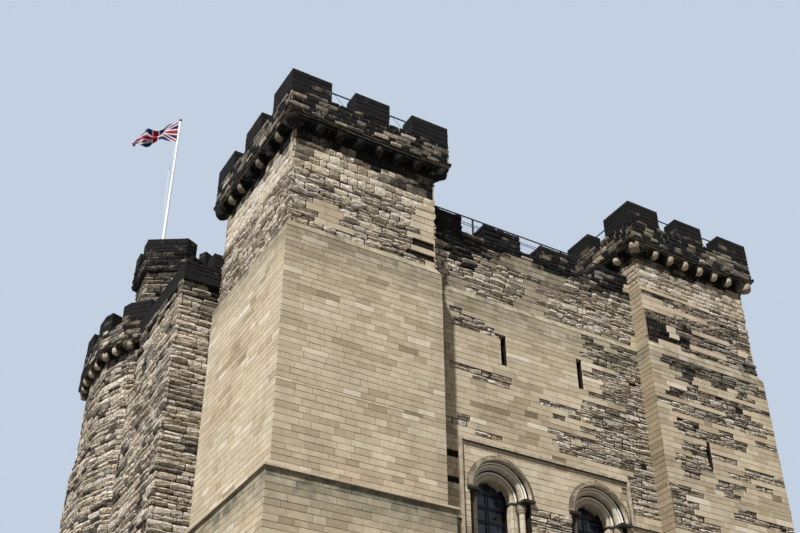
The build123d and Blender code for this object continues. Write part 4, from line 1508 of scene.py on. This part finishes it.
def buildTurretWires(iron):
    # Crossed wires in the railings round three turret tops
    wires = newBits()
    low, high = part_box("turret_railings")
    base, top = low.z + railSet["turretLow"], high.z - 0.02
    for part in ("south_west", "south_east", "north_east"):
        signX, signY = (1 if "east" in part else -1), (1 if "north" in part else -1)
        outerX, outerY = (high.x if signX > 0 else low.x), (high.y if signY > 0 else low.y)
        innerX = signX * (hallHigh.x + abs(abs(outerX) - plan["half"][0]))
        innerY = signY * (hallHigh.y + abs(abs(outerY) - plan["half"][1]))
        xs = sorted((outerX - signX * railSet["post"], innerX))
        ys = sorted((outerY - signY * railSet["post"], innerY))
        sides = [((xs[0], y), (xs[1], y)) for y in ys] + [((x, ys[0]), (x, ys[1])) for x in xs]
        for (ax, ay), (bx, by) in sides:
            count = round(math.dist((ax, ay), (bx, by)) / railSet["panel"])
            for k in range(count):
                a, b = k / count, (k + 1) / count
                p = ax + (bx - ax) * a, ay + (by - ay) * a
                q = ax + (bx - ax) * b, ay + (by - ay) * b
                addRod(wires, (*p, base), (*q, top), railSet["wire"], 4)
                addRod(wires, (*p, top), (*q, base), railSet["wire"], 4)
    finishBits("turret_rail_wires", wires, iron)


def buildWalkMesh(iron):
    # Wire mesh below the rails of the wall walk, on three sides
    mesh = newBits()
    low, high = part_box("wall_walk_railing")
    clear, post = railSet["clear"], railSet["post"]
    bottom, top = low.z + railSet["walkLow"], high.z - railSet["walkBelow"]
    runs = [
        ((-hallHigh.x + clear, low.y + post), (hallHigh.x - clear, low.y + post)),
        ((high.x - post, -hallHigh.y + clear), (high.x - post, hallHigh.y - clear)),
        ((railSet["northStart"] + clear, high.y - post), (hallHigh.x - clear, high.y - post)),
    ]
    for (ax, ay), (bx, by) in runs:
        count = round(math.dist((ax, ay), (bx, by)) / railSet["meshGap"])
        for k in range(1, count):
            x, y = ax + (bx - ax) * k / count, ay + (by - ay) * k / count
            addRod(mesh, (x, y, bottom), (x, y, top), railSet["meshWire"], 4)
        for k in range(railSet["meshRows"]):
            z = bottom + (top - bottom) * k / railSet["meshRows"]
            addRod(mesh, (ax, ay, z), (bx, by, z), railSet["meshWire"], 4)
        for z in (top, top - railSet["edgeGap"]):
            addRod(mesh, (ax, ay, z), (bx, by, z), railSet["edgeBar"])
    finishBits("wall_walk_rail_mesh", mesh, iron)


# Flag, halyard and pole fittings

flagSet = {
    "long": 2.3,
    "deep": 1.15,
    "fly": 150,             # degrees from east round to the north
    "below": 0.20,          # from the top of the pole to the top of the hoist
    "droop": 0.72,          # how far the fly end hangs below the hoist
    # how much of its depth the cloth keeps, along its length; the rest is taken up by folds
    "spread": [(0, 1.0), (0.2, 0.82), (0.45, 0.5), (0.7, 0.78), (0.86, 0.6), (1, 0.2)],
    "folds": 1.5,
    "foldHigh": 0.15,
    "waves": 1.75,
    "waveHigh": 0.15,
    "columns": 72,
    "rows": 36,
}


poleSet = {
    "footRadius": 0.075,
    "tipRadius": 0.038,
    "finialHigh": 0.14,
    "cleatHigh": 1.4,       # above the foot of the pole
    "cleatHalf": 0.09,
    "ropeRadius": 0.006,
    "bow": (1.7, 0.20),     # where the halyard stands furthest out: below the hoist, and from the pole
    "collars": (0.12, 0.55),
}

poleFoot = Vector(((poleLow.x + poleHigh.x) / 2, (poleLow.y + poleHigh.y) / 2, 0))


def flyWay():
    # The way that the flag flies
    angle = math.radians(flagSet["fly"])
    return Vector((math.cos(angle), math.sin(angle), 0))


def poleRadiusAt(z):
    share = (z - poleLow.z) / (poleHigh.z - poleSet["finialHigh"] - poleLow.z)
    return poleSet["footRadius"] + (poleSet["tipRadius"] - poleSet["footRadius"]) * share


def flagPoint(u, v):
    # u runs from the hoist to the fly, v from the top edge to the bottom edge
    deep, long = flagSet["deep"], flagSet["long"]
    out = flyWay()
    across = Vector((-out.y, out.x, 0))
    phase = 2 * math.pi * (flagSet["waves"] * u - 0.35 * v) + 0.6
    swell = flagSet["waveHigh"] * min(1, 2.2 * u)
    side = swell * math.sin(phase) + 0.05 * u * math.sin(2.6 * phase + 3 * v)
    along = long * u * 0.90 - 0.10 * u * u
    drop = flagSet["droop"] * u**1.6 + 0.05 * u * math.sin(phase + 1.2)
    kept = float(np.interp(u, *zip(*flagSet["spread"])))
    side += flagSet["foldHigh"] * (1 - kept) * math.sin(2 * math.pi * flagSet["folds"] * v + 1 + 3 * u)
    high = deep * (0.5 * (1 - kept) + v * kept)
    top = poleHigh.z - flagSet["below"]
    at = poleFoot + out * (poleRadiusAt(top - deep * v) + 0.012 + along) + across * side
    at.z = top - drop - high
    return at


def buildFlag():
    columns, rows = flagSet["columns"], flagSet["rows"]
    points = [flagPoint(i / columns, j / rows) for j in range(rows + 1) for i in range(columns + 1)]
    faces = []
    for j in range(rows):
        for i in range(columns):
            a = j * (columns + 1) + i
            faces.append((a, a + 1, a + columns + 2, a + columns + 1))
    values = {
        "clothAlong": [i / columns for _ in range(rows + 1) for i in range(columns + 1)],
        "clothDown": [j / rows for j in range(rows + 1) for _ in range(columns + 1)],
    }
    flag = addPiece("flag_cloth", points, faces, makeFlagMaterial(), values, smooth=True)
    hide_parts("flag")


def makeFlagMaterial():
    # White, red and blue crosses on woven bunting, all made darker as painted shade
    material, tree, surface = newMaterial("flagCloth", 0.8)
    along, down = attributeOf(tree, "clothAlong"), attributeOf(tree, "clothDown")
    x, y = times(tree, minus(tree, along, 0.5), 2.0), minus(tree, down, 0.5)

    def near(distance, half):
        return isBelow(tree, sizeOf(tree, distance), half)

    slope = math.sqrt(5)
    rising = shareOf(tree, plus(tree, x, times(tree, y, 2.0)), slope)
    falling = shareOf(tree, minus(tree, x, times(tree, y, 2.0)), slope)
    diagonal = largest(tree, near(rising, 0.1), near(falling, 0.1))
    thin = largest(tree, near(rising, 0.034), near(falling, 0.034))
    upright = largest(tree, near(x, 0.167), near(y, 0.167))
    middle = largest(tree, near(x, 0.1), near(y, 0.1))
    # painted shade: the white is a mid grey and the red and blue are deepened, as for cloth in shade
    blue, white, red = (0.008, 0.018, 0.085, 1), (0.60, 0.61, 0.64, 1), (0.30, 0.010, 0.025, 1)
    colour = mixColour(tree, diagonal, blue, white)
    colour = mixColour(tree, thin, colour, red)
    colour = mixColour(tree, upright, colour, white)
    colour = mixColour(tree, middle, colour, red)
    place = objectPlace(tree)
    worn = rampOf(tree, noiseOf(tree, place, 3, 5), [(0.3, 0.82), (0.6, 1.0)])
    tree.links.new(mixColour(tree, 1.0, colour, worn, "MULTIPLY"), surface.inputs["Base Color"])
    surface.inputs["Sheen Weight"].default_value = 0.15
    threads = addNode(tree, "ShaderNodeTexWave", {"Vector": place, "Scale": 160.0, "Distortion": 0.5})
    addBump(tree, surface, threads.outputs["Fac"], 0.2, 0.001)
    return material


def buildPoleFittings(paint, iron):
    # Halyard from the top of the hoist down to its cleat, and the collars that the pole stands in
    rope, metal = newBits(), newBits()
    out = flyWay()
    top = poleHigh.z - flagSet["below"]
    hoistFoot = top - flagSet["deep"]
    cleat = poleLow.z + poleSet["cleatHigh"]
    stations = [
        (poleHigh.z - 0.15, poleRadiusAt(poleHigh.z) + 0.008),
        (top, poleRadiusAt(top) + 0.012),
        (hoistFoot, poleRadiusAt(hoistFoot) + 0.012),
        (hoistFoot - poleSet["bow"][0], poleSet["bow"][1]),
        (cleat, poleRadiusAt(cleat) + 0.02),
    ]
    places = [poleFoot + out * radius + Vector((0, 0, z)) for z, radius in stations]
    for start, end in zip(places, places[1:]):
        addRod(rope, start, end, poleSet["ropeRadius"])
    for shift in (-poleSet["cleatHalf"], poleSet["cleatHalf"]):
        start = poleFoot + out * (poleRadiusAt(cleat) + 0.03) + Vector((0, 0, cleat))
        addRod(metal, poleFoot + Vector((0, 0, cleat)), start, 0.014)
        addRod(metal, start, start + Vector((0, 0, shift)), 0.011)
    for high in poleSet["collars"]:
        z = poleLow.z + high
        foot, head = (poleFoot + Vector((0, 0, level)) for level in (z, z + 0.06))
        addRod(metal, foot, head, poleRadiusAt(z) + 0.012, 24)
    finishBits("halyard", rope, paint)
    finishBits("pole_collars_and_cleat", metal, iron)


def buildRoofRolls(lead, sheets=11):
    # Rolls between the sheets of the lead roof
    low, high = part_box("roof_deck")
    rolls = newBits()
    for k in range(1, sheets):
        x, z = low.x + (high.x - low.x) * k / sheets, high.z + 0.012
        addRod(rolls, (x, low.y + 0.05, z), (x, high.y - 0.05, z), 0.03, 10)
    finishBits("roof_lead_rolls", rolls, lead)


makeCamera()
makeLight()
makeFloor()
print("camera, light and floor are in place")

ironMaterial = makeIronMaterial()
paintMaterial = makePaintMaterial()
leadMaterial = makeLeadMaterial()
dress([name for name in masonry if slotOf[name] != "sooty_stone"], makeCoreMaterial())
dress([name for name in masonry if slotOf[name] == "sooty_stone"], makeSootyMaterial())
dress(["south_window_surrounds", "east_window_surrounds"], makeWindowStone())
dress(["south_label_frame", "east_label_frame"], makeLabelStone())
dress(["south_window_glass", "east_window_glass"], makeGlassMaterial())
dress(["ground_floor", "hall_floor"], makeFlagstoneMaterial())
dress(["roof_deck"], leadMaterial)
dress(["wall_walk_railing", "turret_railings"], ironMaterial)
dress(["flagpole"], paintMaterial)
print("the CAD nodes have their finishes")

stoneMaterial = makeStoneMaterial()
buildStones(stoneMaterial)
buildCorbels(stoneMaterial)
buildWindows(makeRollMaterial(), ironMaterial)
buildTurretWires(ironMaterial)
buildWalkMesh(ironMaterial)
buildFlag()
buildPoleFittings(paintMaterial, ironMaterial)
buildRoofRolls(leadMaterial)
print("windows, rails, flag and roof are made")
